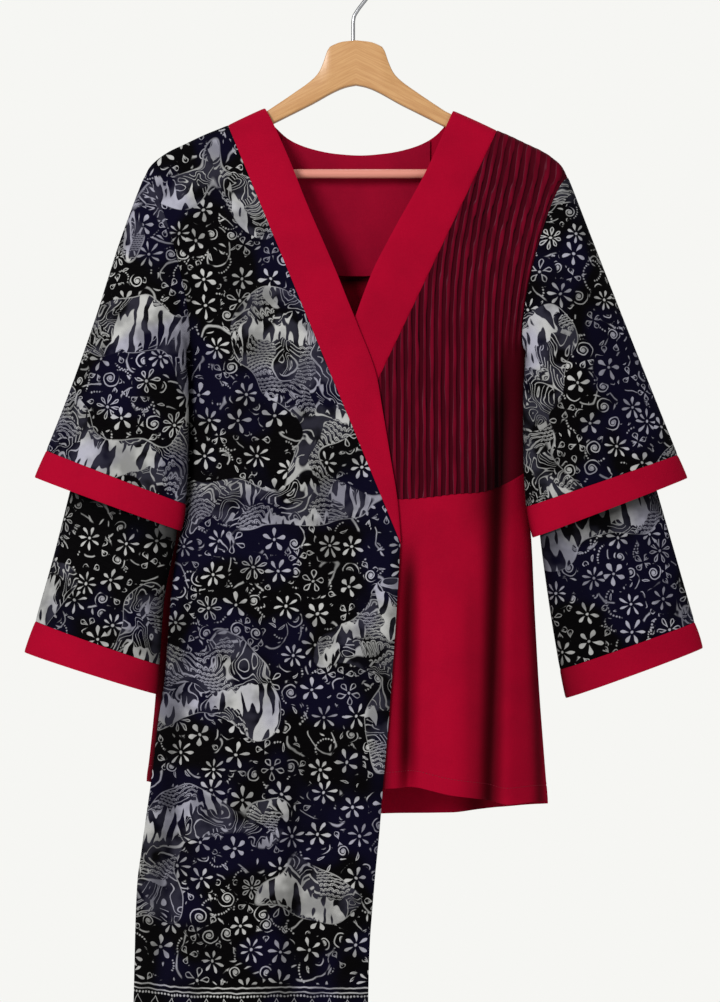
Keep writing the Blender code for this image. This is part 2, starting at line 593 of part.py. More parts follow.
def back_panel(finish):
    """The red back, which wraps a little way round to the front at the right side."""
    neck = [row.outer_x for row in BACK_NECK]
    top_x = np.array([-TIP_X + 5, -TIP_X + 11, -200, -180, -158] + neck + [165, 184, 202, TIP_X])
    inside = (top_x >= neck[0]) & (top_x <= neck[-1])
    below_band = polyline(BACK_NECK, "outer_x", "outer_down", top_x) + SEAM
    at_ends = (top_x == neck[0]) | (top_x == neck[-1])
    top = np.where(inside & ~at_ends, below_band, shoulder_down(top_x))
    across = (top_x + TIP_X) / (2 * TIP_X)
    across[0] = 0
    hem_x = mix(-side_edge(RIGHT, BACK, 870.0), side_edge(LEFT, BACK, 880.0), across)
    bottom = read(BACK_HEM, "x", "down", hem_x)
    bottom[0] = BACK_CORNER_DOWN
    down = row_downs(top, bottom, SIDE_ROWS)
    left = -side_edge(RIGHT, BACK, down) + (1 - wrap_share(down)) * 5
    x = mix(left, side_edge(LEFT, BACK, down), across[None, :])
    exact = np.where(at_ends, top_x - np.sign(top_x) * -SEAM, top_x)
    x = start_from(x, exact)
    middle, out = body_grid(BACK, x, down, back_surface)
    onto_ridge(middle, out, BACK, np.s_[0, ~inside | at_ends])
    around = wrap_share(down[:, 0])[:, None]
    out[:, 0] = unit(mix(out[:, 0], np.array([-1.0, 0.0, 0.0]), around))
    middle[:, -1], out[:, -1] = seam_edge(LEFT, BACK, down[:, -1])
    seam_down = row_downs(np.array([TIP_DOWN]), np.array([BACK_CORNER_DOWN]), SIDE_ROWS)[:, 0]
    seam, seam_out = seam_edge(RIGHT, BACK, seam_down)
    middle = np.concatenate([seam[:, None], middle], axis=1)
    out = np.concatenate([seam_out[:, None], out], axis=1)
    return wall("back", middle, out, finish)


def back_neck_band(finish):
    rows = 4
    across = np.linspace(0, 1, rows)[:, None]
    inner_x, outer_x, inner_down, outer_down = (
        np.array([getattr(row, key) for row in BACK_NECK])[None, :]
        for key in ("inner_x", "outer_x", "inner_down", "outer_down")
    )
    x, down = mix(inner_x, outer_x, across), mix(inner_down, outer_down, across)
    middle, out = body_grid(BACK, x, down, back_surface)
    for end in (0, -1):
        onto_ridge(middle, out, BACK, np.s_[:, end])
    return wall("back_neck_band", middle, out, finish)


def back_neck_facing(finish):
    """The half-moon facing inside the back neck."""
    columns, rows = 11, 6
    across = np.linspace(-FACING_HALF_WIDTH, FACING_HALF_WIDTH, columns)
    top = read(BACK_NECK, "inner_x", "inner_down", across) + 1
    bottom = FACING_DOWN - FACING_RISE * np.abs(across / FACING_HALF_WIDTH) ** 3
    down = mix(top[None, :], bottom[None, :], np.linspace(0, 1, rows)[:, None])
    x = np.broadcast_to(across, down.shape)
    middle, out = body_grid(BACK, x, down, facing_surface)
    return wall("back_neck_facing", middle, out, finish)


def sleeve_points(side, table, along, half, face, bulge):
    """Middle of a sleeve's wall. half goes from 0 at the outer fold to 1 at the inner one."""
    share = (1 - np.cos(math.pi * half)) / 2
    round_off = np.sin(math.pi * half)
    values = {key: read(table, "along", key, along) for key in Ring._fields[1:]}
    fade = np.clip(1 - along / BULGE_FADE, 0, 1) ** 2
    x = mix(values["outer_x"], values["inner_x"], share) - bulge * fade * round_off
    down = mix(values["outer_down"], values["inner_down"], share)
    forward = mix(0, values["inner_forward"], share) + face * values["half_depth"] * round_off
    return points(side * x, forward, down)


def sleeve(name, side, table, along, bulge, finish, at_armhole=False, in_halves=False):
    """A tube of cloth through a table's rings, at the given places along it."""
    half = np.array(ARMHOLE_TURNS)
    half = np.concatenate([half, half[-2:0:-1]])
    face = np.where(np.arange(len(half)) < len(ARMHOLE_TURNS), FRONT, BACK)
    middle = sleeve_points(side, table, np.array(along)[:, None], half[None, :], face[None, :], bulge)
    around = np.roll(middle, -1, axis=1) - np.roll(middle, 1, axis=1)
    out = unit(np.cross(around, np.gradient(middle, axis=0)) * side)
    if at_armhole:
        middle[0, :, 0] += side * np.interp(half, (0, 0.1, 0.8, 1), (0.6, 0.3, 0.3, 1.2))
        for column, (turn, way) in enumerate(zip(half, face)):
            out[0, column] = armhole_out(side, way, math.pi * turn)
    if in_halves:
        return sleeve_halves(name, middle, out, finish)
    return wall(name, middle, out, finish, ring=True)


def sleeve_halves(name, middle, out, finish):
    """A sleeve as its front and its back, which meet along the outer fold and the underarm seam."""
    last = len(ARMHOLE_TURNS) - 1
    front, back = np.arange(last + 1), np.arange(last, 2 * last + 1) % (2 * last)
    for word, face, around in (("front", FRONT, front), ("back", BACK, back)):
        half_middle, half_out = middle[:, around].copy(), out[:, around].copy()
        for edge in (0, -1):
            half_middle[:, edge, 1] -= face * SEAM / 2
            half_out[:, edge, 1] = 0
        wall(f"{name}_{word}", half_middle, unit(half_out), finish)


def sleeves(side, word, tables):
    upper, upper_band, lower, lower_band = tables
    upper_along = [0, 0.04, 0.12, 0.22, 0.34, 0.46, 0.58, 0.7, 0.8, 0.9, 0.9995]
    sleeve(f"sleeve_{word}_upper", side, upper, upper_along, ARMHOLE_BULGE, BATIK, at_armhole=True)
    sleeve(f"sleeve_{word}_upper_band", side, upper_band, [0.006, 0.5, 1], 0, CRIMSON)
    high_along = [0, 0.06, 0.13, 0.22, 0.31, LOWER_PARTED - SEAM_SHARE / 2]
    low_along = [LOWER_PARTED + SEAM_SHARE / 2, 0.48, 0.58, 0.72, 0.86, 0.9995]
    sleeve(f"sleeve_{word}_lower_high", side, lower, high_along, LOWER_BULGE, BATIK, in_halves=True)
    sleeve(f"sleeve_{word}_lower_low", side, lower, low_along, LOWER_BULGE, BATIK, in_halves=True)
    sleeve(f"sleeve_{word}_lower_band", side, lower_band, [0.006, 0.5, 1], 0, CRIMSON)


def rod(name, path, radii, sides, finish):
    """A round rod along a path in the middle plane, with a radius at each of its points."""
    path, radii = np.array(path, float), np.broadcast_to(radii, len(path))
    ways = unit(np.gradient(path, axis=0))
    across = np.stack([-ways[:, 1], ways[:, 0]], axis=-1)
    angles = np.arange(sides) * math.tau / sides
    x = path[:, None, 0] + across[:, None, 0] * np.cos(angles) * radii[:, None]
    down = path[:, None, 1] + across[:, None, 1] * np.cos(angles) * radii[:, None]
    grid = points(x, np.sin(angles) * radii[:, None], down)
    rows = len(path)
    faces = [list(range(sides)), list(range((rows - 1) * sides, rows * sides))]
    for row in range(rows - 1):
        for column in range(sides):
            beside = (column + 1) % sides
            faces.append([
                row * sides + column, row * sides + beside,
                (row + 1) * sides + beside, (row + 1) * sides + column,
            ])
    return mesh_object(name, grid.reshape(-1, 3), faces, finish)


def arm_top(x):
    under_cloth = shoulder_down(x) + ARM_CLEARANCE
    return np.where(x < HEAD[-1].x, read(HEAD, "x", "down", np.minimum(x, HEAD[-1].x)), under_cloth)


def hanger_wood(finish):
    """Flat wooden arms with bevelled edges, and holes for the hook and the bar."""
    half = np.array(ARM_STATIONS) * ARM_TIP_X
    x = np.concatenate([-half[:0:-1], half])
    top, bottom = arm_top(np.abs(x)), read(UNDERSIDE, "x", "down", np.abs(x))
    top[[0, -1]] += 3
    thick = np.full(len(x), ARM_THICKNESS / 2)
    thick[[0, -1]] -= 1.5
    bevel = np.full(len(x), ARM_BEVEL)
    around = ((-1, 0, 1), (-1, 1, 0), (1, 1, 0), (1, 0, 1), (1, 0, -1), (1, -1, 0), (-1, -1, 0), (-1, 0, -1))
    rings = []
    for way, is_flat, end in around:
        forward = way * np.where(is_flat, thick - bevel, thick)
        height = {1: top, -1: bottom, 0: None}[is_flat]
        if height is None:
            height = top + bevel if end > 0 else bottom - bevel
        rings.append(points(x, forward, height))
    grid = np.stack(rings, axis=1)
    sides, rows = grid.shape[1], grid.shape[0]
    faces = [list(range(sides)), list(range((rows - 1) * sides, rows * sides))]
    for row in range(rows - 1):
        for column in range(sides):
            beside = (column + 1) % sides
            faces.append([
                row * sides + column, row * sides + beside,
                (row + 1) * sides + beside, (row + 1) * sides + column,
            ])
    wood = mesh_object("hanger_wood", grid.reshape(-1, 3), faces, finish)
    stem = rod("stem_hole", [(STEM_X, 60), (STEM_X, STEM[0].down + FIT)], WIRE / 2 + FIT / 2, 16, finish)
    reach = BAR_HALF_LENGTH + TENON_LENGTH + FIT
    tenons = rod(
        "tenon_holes", [(-reach, BAR_DOWN), (reach, BAR_DOWN)], TENON_DIAMETER / 2 + FIT / 2, 16, finish
    )
    shoulders = rod(
        "bar_ends", [(-BAR_HALF_LENGTH - FIT, BAR_DOWN), (BAR_HALF_LENGTH + FIT, BAR_DOWN)],
        BAR_DIAMETER / 2 + FIT / 2, 16, finish,
    )
    for hole in (stem, tenons, shoulders):
        cut_out(wood, hole)
    return wood


def cut_out(shape, hole):
    modifier = shape.modifiers.new("hole", "BOOLEAN")
    modifier.operation = "DIFFERENCE"
    modifier.object = hole
    modifier.solver = "EXACT"
    bpy.context.view_layer.update()
    evaluated = shape.evaluated_get(bpy.context.evaluated_depsgraph_get())
    shape.data = bpy.data.meshes.new_from_object(evaluated)
    shape.modifiers.clear()
    bpy.data.objects.remove(hole)


def hanger_bar(finish):
    ends = np.array([-BAR_HALF_LENGTH - TENON_LENGTH, -BAR_HALF_LENGTH - 0.01, -BAR_HALF_LENGTH])
    x = np.concatenate([ends, -ends[::-1]])
    thin, thick = TENON_DIAMETER / 2, BAR_DIAMETER / 2
    return rod("hanger_bar", [(at, BAR_DOWN) for at in x], [thin, thin, thick, thick, thin, thin], 16, finish)


def hanger_hook(finish):
    angles = np.radians(np.linspace(LOOP_FROM, LOOP_TO, 22))
    loop = [(LOOP_RADIUS * math.cos(a), LOOP_DOWN - LOOP_RADIUS * math.sin(a)) for a in angles]
    path = [(row.x, row.down) for row in STEM] + loop
    radii = np.full(len(path), WIRE / 2)
    radii[-1] = WIRE / 2 - 0.8
    return rod("hanger_hook", path, radii, 10, finish)


def main():
    for old in list(bpy.data.objects):
        bpy.data.objects.remove(old)
    right_front(BATIK)
    pintucked_front(TUCKED_RED)
    lower_front(CRIMSON)
    back_panel(CRIMSON)
    front_band(
        "neckband_right", CRIMSON, outer_surface, BAND_INNER, outer_band_x,
        BAND_TOP_DOWN, BAND_END_DOWN, 1, 3,
    )
    front_band(
        "neckband_left", CRIMSON, under_surface, UNDER_INNER, under_band_x,
        UNDER_TOP_DOWN, UNDER_END_DOWN, -1, 4,
    )
    back_neck_band(CRIMSON)
    back_neck_facing(CRIMSON)
    sleeves(LEFT, "left", (LEFT_UPPER, LEFT_UPPER_BAND, LEFT_LOWER, LEFT_LOWER_BAND))
    sleeves(RIGHT, "right", (RIGHT_UPPER, RIGHT_UPPER_BAND, RIGHT_LOWER, RIGHT_LOWER_BAND))
    hanger_wood(WOOD)
    hanger_bar(ROSE_BAR)
    hanger_hook(STEEL)


main()
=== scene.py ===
"""Dresses the batik wrap blouse and its hanger over the solids of the frame.

Lengths are in millimetres until a mesh is made. x runs from the hanger's centre towards the
wearer's left, down is measured from the inside of the hook, and forward is the distance in
front of the hanger's middle plane. Left and right are the wearer's own.
"""

import math
from collections import namedtuple
from functools import partial

import bmesh
import bpy
import numpy as np
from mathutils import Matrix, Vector


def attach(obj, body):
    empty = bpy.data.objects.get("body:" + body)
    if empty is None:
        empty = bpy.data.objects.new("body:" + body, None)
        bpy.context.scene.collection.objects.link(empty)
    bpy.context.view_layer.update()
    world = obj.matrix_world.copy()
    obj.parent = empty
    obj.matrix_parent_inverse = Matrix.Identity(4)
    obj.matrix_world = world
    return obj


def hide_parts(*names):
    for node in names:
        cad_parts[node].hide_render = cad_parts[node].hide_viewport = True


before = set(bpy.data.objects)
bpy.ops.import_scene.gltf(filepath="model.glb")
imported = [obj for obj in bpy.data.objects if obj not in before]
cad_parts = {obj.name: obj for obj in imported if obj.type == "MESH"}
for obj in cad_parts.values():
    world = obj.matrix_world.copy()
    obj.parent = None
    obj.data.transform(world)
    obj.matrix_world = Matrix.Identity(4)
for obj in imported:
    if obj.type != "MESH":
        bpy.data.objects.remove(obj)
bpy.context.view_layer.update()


def rows(kind, *values):
    """A table: a row of one kind for each group of numbers."""
    return [kind(*numbers) for numbers in values]


def steps(*runs):
    """Numbers in even runs: each run is (from, to, how many), and the last one's end is kept."""
    return np.concatenate([np.linspace(a, b, n, endpoint=False) for a, b, n in runs] + [[runs[-1][1]]])


MM = 0.001
CLOTH = 0.9  # thickness of every cloth wall
SEAM = 0.12  # gap between two pieces that are sewn together
GAP = SEAM / 2
FRONT, BACK = 1, -1
LEFT, RIGHT = 1, -1

# Shoulders: half of the line that the hanger gives the cloth, from the neck out to the tip
Ridge = namedtuple("Ridge", "x down")
SHOULDER = rows(
    Ridge, (0, 103), (60, 132.5), (100, 152.3), (134.4, 168.7), (160, 179.2), (178, 187.8),
    (196, 196.4), (208.5, 205), (216.5, 213), (222.6, 224),
)
TIP_X, TIP_DOWN = 222.6, 224.0
ARMPIT_X, ARMPIT_DOWN = 178.5, 404.0
ARMHOLE_BULGE = 15.5  # how far the armhole curves in towards the body
ARMHOLE_DEPTH = 22.0  # half of the armhole's opening, front to back

# How far the cloth stands from the middle plane at each drop below the shoulder line
Hang = namedtuple("Hang", "drop front back")
HANG = rows(
    Hang, (9, 9.6, 9.6), (40, 13.5, 12.5), (120, 24, 19), (220, 32, 26), (400, 38, 31), (700, 42, 34),
    (980, 44, 35),
)
RIDGE_RADIUS = 9.6
UNDER_LAYER = 3.2  # the wrapped-under front lies this much behind the outer one
UNDER_FULL = 70.0  # drop at which it does so fully
TIP_ROUND, EDGE_ROUND = 12.0, 60.0  # widths over which the edge curves round, at the tip and below it
EDGE_ROLL, EDGE_ROLL_WIDTH = 0.3, 1.2  # of a cut edge

BACK_CORNER_DOWN = 857.0
LONG_HEM_DOWN = 1124.0

# Side edges below the armpit
Side = namedtuple("Side", "down x")
UNDER_ARM = ((404, 178.5), (414, 178.2), (440, 177.2))
LEFT_SIDE = rows(
    Side, *UNDER_ARM, (540, 178), (570, 180), (601, 183.8), (676, 187.4),
    (758, 192), (830, 197.4), (894, 202.5),
)
RIGHT_SIDE_BACK = rows(
    Side, *UNDER_ARM, (540, 177.5), (572, 181.5), (588, 188.5),
    (600, 192.5), (612, 196), (625, 198.5), (666, 203.5), (719, 207), (767, 210), (819, 215),
    (857, 219.5), (900, 224),
)
RIGHT_SIDE_FRONT = rows(
    Side, *UNDER_ARM, (540, 177.5), (572, 180), (605, 186), (647, 192.5),
    (701, 196.8), (744, 200), (797, 207.5), (851, 214), (898, 220.5), (929, 224.7), (961, 229),
    (1003, 231), (1045, 232), (1124, 234),
)
RIGHT_SEAM_FORWARD = 6.0  # the back wraps this far round to the front at the right side
RIGHT_SEAM_FROM, RIGHT_SEAM_FULL = 540.0, 620.0

# Wrap edges: straight outer edge of each neckband, and the curved inner one
OUTER_EDGE = rows(Side, (168.7, -134.4), (606.0, 46.0))
BAND_INNER = rows(
    Side, (150.5, -95.6), (167, -87), (210, -68), (246.8, -53.6), (325.5, -20), (351.8, -9.5), (378, 1),
    (433.7, 21.5), (465, 27), (518.7, 36), (561.8, 43), (603.5, 46.6),
)
UNDER_EDGE = rows(Side, (174.3, 148.0), (560.0, -36.0))
UNDER_INNER = rows(
    Side, (153.3, 102), (170, 94.5), (215, 74.6), (291, 33.6), (324.5, 16.8), (378, -3), (433.7, -20),
    (518.7, -35), (557, -38.5),
)
BAND_END_GAP = 0.4
FREE_EDGE = rows(
    Side, (606, 46), (637, 44.4), (710, 39.9), (782, 34.7), (854, 28.4), (902, 24.7), (957, 19.4),
    (1037, 13.7), (1088, 12.6), (1124, 11.6),
)

# Back neck: the neckband's two edges, from the right shoulder to the left one
Neck = namedtuple("Neck", "outer_x outer_down inner_x inner_down")
BACK_NECK = rows(
    Neck, (-134.4, 168.7, -95.6, 150.5), (-133.4, 170.6, -95.3, 151.3), (-131.4, 174.5, -94.6, 153),
    (-127.5, 182, -93, 156.8), (-122, 192, -90.5, 163), (-110, 210, -83, 171), (-85, 227, -70, 182),
    (-50, 237, -50, 190.5), (-20, 241, -22, 196.3), (10, 242, 5, 198), (40, 240.5, 32, 196),
    (70, 236, 60, 190), (100, 226, 81, 180), (126, 208, 94, 167), (135, 194, 98.4, 159.5),
    (140.5, 185, 100.4, 156.3), (144.5, 179.2, 101.3, 154.6), (146.6, 176.3, 101.7, 153.8),
    (148, 174.3, 102, 153.3),
)
FACING_HALF_WIDTH, FACING_DOWN, FACING_RISE = 78.0, 325.5, 75.0
FACING_INSET, FACING_CURL = 2.6, 7.0  # off the back, and how far its loose lower edge leans out
CURL_HEIGHT, CURL_HALF_WIDTH = 40.0, 60.0

# Pintucked panel: seam under it, and its tucks
Seam = namedtuple("Seam", "x down")
WAIST = rows(
    Seam, (-36, 561), (-8, 561.5), (20, 561.5), (46, 561), (65, 560), (84, 558), (97, 556.2),
    (110, 555), (122, 554.6), (132, 553.4), (142, 550.8), (152, 546.8), (162, 541.8), (170, 537.2),
    (179, 531.8),
)
WAIST_NEAR = 550.0  # a first guess, for finding the seam
TUCKS = 20
TUCKS_FROM_X, TUCKS_TURN_X = 22.0, 110.0
TUCK_LEAN, TUCK_LEAN_FROM, TUCK_BEND = 0.22, 380.0, 120.0

# Hems
LOWER_HEM = rows(
    Seam, (-36, 862), (30, 861), (64, 860), (77, 862.6), (96, 867), (129, 872), (159, 878), (183, 877),
    (203, 878),
)
BACK_HEM_RIGHT, BACK_HEM_LEFT = 870.0, 880.0  # heights where its ends are measured
BACK_HEM = rows(
    Seam, (-222, 857), (-150, 876), (-60, 890), (30, 894), (100, 894), (130, 890), (204, 880),
)

# Soft folds: a trough has a negative depth, a ridge a positive one
Fold = namedtuple("Fold", "x lean start rise width depth")
OUTER_FOLDS = rows(
    Fold, (-172, -0.09, 600, 200, 26, -9), (-110, -0.05, 640, 240, 20, 4),
    (-60, -0.03, 700, 260, 16, -5), (-10, 0, 760, 240, 14, 3),
)
UNDER_FOLDS = rows(
    Fold, (158, -0.035, 380, 150, 10, -14), (57, -0.01, 600, 90, 8, -12), (98, 0, 590, 200, 20, 5),
    (178, 0.03, 560, 160, 12, 2),
)
# Painted shade: shadows painted into the cloth's colour in the troughs of the folds, beside the sleeves,
# under the loose facing and inside the back's hem; a dark below 0 paints the inner face
Shadow = namedtuple("Shadow", "x lean start end rise width dark")
OUTER_SHADOWS = rows(
    Shadow, (-172, -0.09, 600, 1200, 160, 12, 0.5), (-60, -0.03, 720, 1200, 200, 10, 0.4),
    (-176, 0, 300, 560, 60, 9, 0.55), (44, -0.055, 600, 1200, 60, 6, 0.35),
)
UNDER_SHADOWS = rows(
    Shadow, (153, -0.03, 370, 900, 110, 13, 0.86), (57, -0.02, 590, 820, 60, 9, 0.8),
    (176, 0.03, 330, 900, 50, 7, 0.7), (42, -0.06, 590, 900, 40, 9, 0.7),
    (134, 0.02, 490, 562, 60, 24, 0.45), (120, 0.0, 590, 900, 120, 9, 0.25),
)
BACK_SHADOWS = rows(Shadow, (-1, 0, 318, 331, 9, 34, -0.95), (128, 0, 858, 900, 8, 18, -0.7))
SEAM_SHADE, TURN_SHADE = 0.95, 0.5  # painted shade of the back's strip beside the batik: at its seam, where it turns
# where the painted shade of the strip starts, how fast it comes in, and the strip's width on the cloth
STRIP_FROM, STRIP_RISE, STRIP_WIDTH = 550.0, 20.0, 8.0
BACK_FOLDS = rows(
    Fold, (-120, -0.04, 420, 260, 22, -7), (-50, -0.02, 480, 260, 22, 4), (20, 0, 440, 260, 20, -6),
    (95, 0.02, 460, 260, 22, 4), (150, 0.03, 420, 260, 16, -6),
)

# Sleeves: a row for each ring, from the armhole to the seam of the cuff band, then the band's edge
Ring = namedtuple("Ring", "along outer_x outer_down inner_x inner_down inner_forward half_depth")
UPPER_TOP = (
    (0, 222.6, 224, 178.5, 404, 0, 22),
    (0.04, 226.5, 233.5, 180.2, 408, 4, 23.5), (0.12, 234, 253, 178, 420, 9, 25),
)
SLEEVES = {
    "left_upper": rows(
        Ring, *UPPER_TOP, (0.3, 249, 292, 175.4, 446, 12, 27),
        (0.55, 281, 374, 175.2, 488, 12, 28), (0.8, 314, 457, 175.8, 530, 12, 29),
        (1, 337, 514.5, 178.4, 568.5, 12, 29),
    ),
    "left_upper_band": rows(
        Ring, (0, 337, 514.5, 178.4, 568.5, 12, 29), (0.5, 342.3, 526.6, 181.4, 585, 12, 29.2),
        (1, 347.6, 538.7, 185, 601, 12, 29.5),
    ),
    "left_lower": rows(
        Ring, (0, 227.1, 240, 184.4, 411, 5.5, 21), (0.12, 238, 284, 185, 434, 10, 21.3),
        (0.4, 270, 396, 186.5, 505, 13, 21.5), (0.7, 306, 520, 192, 590, 14, 21.5),
        (0.87, 334, 617, 203, 675, 14, 21.5), (1, 354.9, 690, 213.5, 738.5, 14, 21),
    ),
    "left_lower_band": rows(
        Ring, (0, 354.9, 690, 213.5, 738.5, 14, 21), (0.5, 359.6, 703, 216.5, 753.5, 14, 21),
        (1, 363.8, 717, 219.5, 768.5, 14, 21),
    ),
    "right_upper": rows(
        Ring, *UPPER_TOP, (0.3, 248, 292, 175.4, 446, 12, 27),
        (0.55, 274, 374, 175.2, 488, 12, 28), (0.8, 303.5, 457, 176, 530, 12, 29),
        (1, 324.5, 510, 178.4, 566, 12, 29),
    ),
    "right_upper_band": rows(
        Ring, (0, 324.5, 510, 178.4, 566, 12, 29), (0.5, 330.8, 524, 180, 580, 12, 29.2),
        (1, 337, 538, 182.8, 594, 12, 29.5),
    ),
    "right_lower": rows(
        Ring, (0, 227.1, 240, 184.4, 411, 5.5, 21), (0.12, 237, 284, 185, 434, 10, 21.3),
        (0.4, 264, 396, 186.5, 505, 14, 21.5), (0.7, 292, 520, 187.5, 590, 14, 21),
        (0.87, 315, 614, 201, 668, 16, 21.5), (1, 336, 689, 205.5, 733.5, 17, 21),
    ),
    "right_lower_band": rows(
        Ring, (0, 336, 689, 205.5, 733.5, 17, 21), (0.5, 342, 705, 206.3, 749, 17, 21),
        (1, 347.8, 721.4, 207.3, 764.5, 17, 21),
    ),
}
LOWER_BULGE, BULGE_FADE = 9.9, 0.3
BAND_FROM, SLEEVE_TO = 0.004, 0.9997  # the gap between a sleeve and its cuff band
SLEEVE_RIPPLE, CUFF_PUFF, BAND_PUFF = 0.6, 0.4, 0.5

# Hanger
ARM_THICKNESS, ARM_BEVEL = 12.0, 3.0
ARM_CLEARANCE = 4.8  # arm's top below the cloth's shoulder line
ARM_ROUND_X, ARM_TIP_X = 197.0, 205.0
HEAD = rows(
    Ridge, (0, 79.5), (14, 81), (25, 85), (28.6, 87.6), (30.4, 91.5), (34, 102), (39, 113), (45, 120),
    (66, 135.5), (92, 153),
)
UNDERSIDE = rows(
    Ridge, (0, 126.5), (10, 128.5), (50, 148.5), (100, 173.5), (150, 198.5), (176, 212.5), (188, 224.5),
    (198, 228), (208, 226),
)
CORNER = 0.9  # how much of the bevel the rounded corners take
BAR_DOWN, BAR_DIAMETER, BAR_HALF_LENGTH = 219.2, 9.5, 174.0
TENON_DIAMETER, TENON_LENGTH = 8.0, 22.0
WIRE = 4.0
LOOP_RADIUS, LOOP_DOWN = 20.0, 18.0  # of the wire's middle line, and its centre
LOOP_FROM, LOOP_TO = -50.0, 200.0  # degrees, counted from the wearer's left upwards
STEM = rows(Seam, (-3, 92), (-3, 76), (-3, 62), (-2.2, 55), (1.5, 48), (7, 40.5))

# The finer grids of the scene's own cloth
ARMHOLE_ROWS = (1 - np.cos(math.pi * np.linspace(0, 1, 41))) / 2
SIDE_ROWS = np.linspace(409, BACK_CORNER_DOWN, 84)
FRONT_ROWS = np.linspace(409, LONG_HEM_DOWN, 134)
ACROSS_FRONT = steps((0, 0.06, 8), (0.06, 0.94, 63), (0.94, 1, 11))
ACROSS_BAND = steps((0, 0.12, 4), (0.12, 0.88, 12), (0.88, 1, 4))
SLEEVE_HALF = 44

# Tucks: how far one stands out at each share of the way across it
Tuck = namedtuple("Tuck", "phase height")
TUCK_PROFILE = rows(
    Tuck, (0, 0), (0.04, 0.7), (0.1, 1.25), (0.22, 1.5), (0.38, 1.45), (0.5, 1.2), (0.56, 0.5),
    (0.6, 0.1), (0.8, 0),
)
TUCK_FADE_X, TUCK_FADE_WIDTH = 150.0, 6.0
TUCK_FADE_DOWN, TUCK_FADE_HEIGHT = 360.0, 60.0

# Hems and their stitches
Hem = namedtuple("Hem", "depth fold step groove groove_width stitch")
HEM, NARROW = rows(Hem, (19.0, 0.28, 1.5, 0.45, 0.8, 17.0), (8.0, 0.25, 1.2, 0.4, 0.7, 6.5))
STITCH_PITCH, STITCH_LENGTH, THREAD = 3.4, 2.3, 0.5
stitches = []

Wave = namedtuple("Wave", "count shift depth")
SLEEVE_SHADE = 0.6  # how dark the shade painted into the sleeve's fold beside the body is
LOWER_SHADE, CUFF_SHADE = 0.6, 0.8  # painted shade of the lower sleeve: beside the body, and the upper cuff's painted shadow
CUFF_EDGE, CUFF_SLANT, CUFF_REACH = 0.765, 0.035, 0.05  # edge, slant and reach of the upper cuff's painted shadow, as shares of the lower sleeve's length
SLEEVE_AWAY, TIER_AWAY = 963.5, 20.0  # its place on the batik cloth, off the body's
SLEEVE_WAVES = rows(Wave, (2, 0.4, 1.6), (4, 1.7, 1.0), (6, 0.3, 0.6))

# The studio
FLOOR_Z = -1.25
WALL_COLOUR = (246, 246, 243)
LIT_PLACE = (0, 0, -0.6)
AMBIENT, KEY_POWER, FILL_POWER, TOP_POWER = 0.38, 62.0, 8.0, 8.0


def through(knots, values, at):
    """A smooth curve through points that never overshoots them, read at one place or many."""
    knots, values = np.asarray(knots, float), np.asarray(values, float)
    rise = np.diff(values) / np.diff(knots)
    slopes = np.concatenate([rise[:1], np.zeros(len(knots) - 2), rise[-1:]])
    same_way = rise[:-1] * rise[1:] > 0
    both = np.where(same_way, rise[:-1] + rise[1:], 1)
    slopes[1:-1] = np.where(same_way, 2 * rise[:-1] * rise[1:] / both, 0)
    at = np.clip(np.asarray(at, float), knots[0], knots[-1])
    i = np.clip(np.searchsorted(knots, at, side="right") - 1, 0, len(knots) - 2)
    span = knots[i + 1] - knots[i]
    t = (at - knots[i]) / span
    start = (2 * t**3 - 3 * t**2 + 1) * values[i] + (t**3 - 2 * t**2 + t) * span * slopes[i]
    end = (3 * t**2 - 2 * t**3) * values[i + 1] + (t**3 - t**2) * span * slopes[i + 1]
    return start + end


def column(table, key):
    return [getattr(row, key) for row in table]


def read(table, key, value, at):
    """One column of a table as a smooth function of another."""
    return through(column(table, key), column(table, value), at)


def waist_down(x):
    """The seam under the pintucks, in straight runs, so that both panels share it."""
    return np.interp(x, column(WAIST, "x"), column(WAIST, "down"))


def on_line(ends, down):
    top, end = ends
    return mix(top.x, end.x, (down - top.down) / (end.down - top.down))


def mix(a, b, share):
    return a + (b - a) * share


def ease(t):
    t = np.clip(t, 0, 1)
    return t * t * (3 - 2 * t)


def bell(t):
    return np.exp(-(t**2))


def unit(vectors):
    vectors = np.asarray(vectors, float)
    return vectors / np.linalg.norm(vectors, axis=-1, keepdims=True)


def points(x, forward, down):
    return np.stack(np.broadcast_arrays(x, -forward, -down), axis=-1).astype(float)


def lengths(grid, axis):
    """Length along the rows or columns of a grid, from its first point."""
    step = np.linalg.norm(np.diff(grid, axis=axis), axis=-1)
    start = np.zeros_like(np.take(step, [0], axis=axis))
    return np.concatenate([start, np.cumsum(step, axis=axis)], axis=axis)


def shoulder_down(x):
    return read(SHOULDER, "x", "down", np.abs(x))


def armhole_share(down):
    """How far down the armhole a point is, from 0 at the shoulder tip to 1 at the armpit."""
    return np.clip((down - TIP_DOWN) / (ARMPIT_DOWN - TIP_DOWN), 0, 1)


def armhole_arc(down):
    """0 at both ends of the armhole, and 1 midway."""
    share = armhole_share(down)
    return 2 * np.sqrt(share * (1 - share))


def side_edge(side, face, down):
    """Distance of the body's edge from the centre: the armhole, then the side seam."""
    table = LEFT_SIDE if side == LEFT else RIGHT_SIDE_FRONT if face == FRONT else RIGHT_SIDE_BACK
    armhole = mix(TIP_X, ARMPIT_X, armhole_share(down)) - ARMHOLE_BULGE * armhole_arc(down)
    return np.where(down < ARMPIT_DOWN, armhole, read(table, "down", "x", down))


def wrap_share(down):
    return ease((down - RIGHT_SEAM_FROM) / (RIGHT_SEAM_FULL - RIGHT_SEAM_FROM))


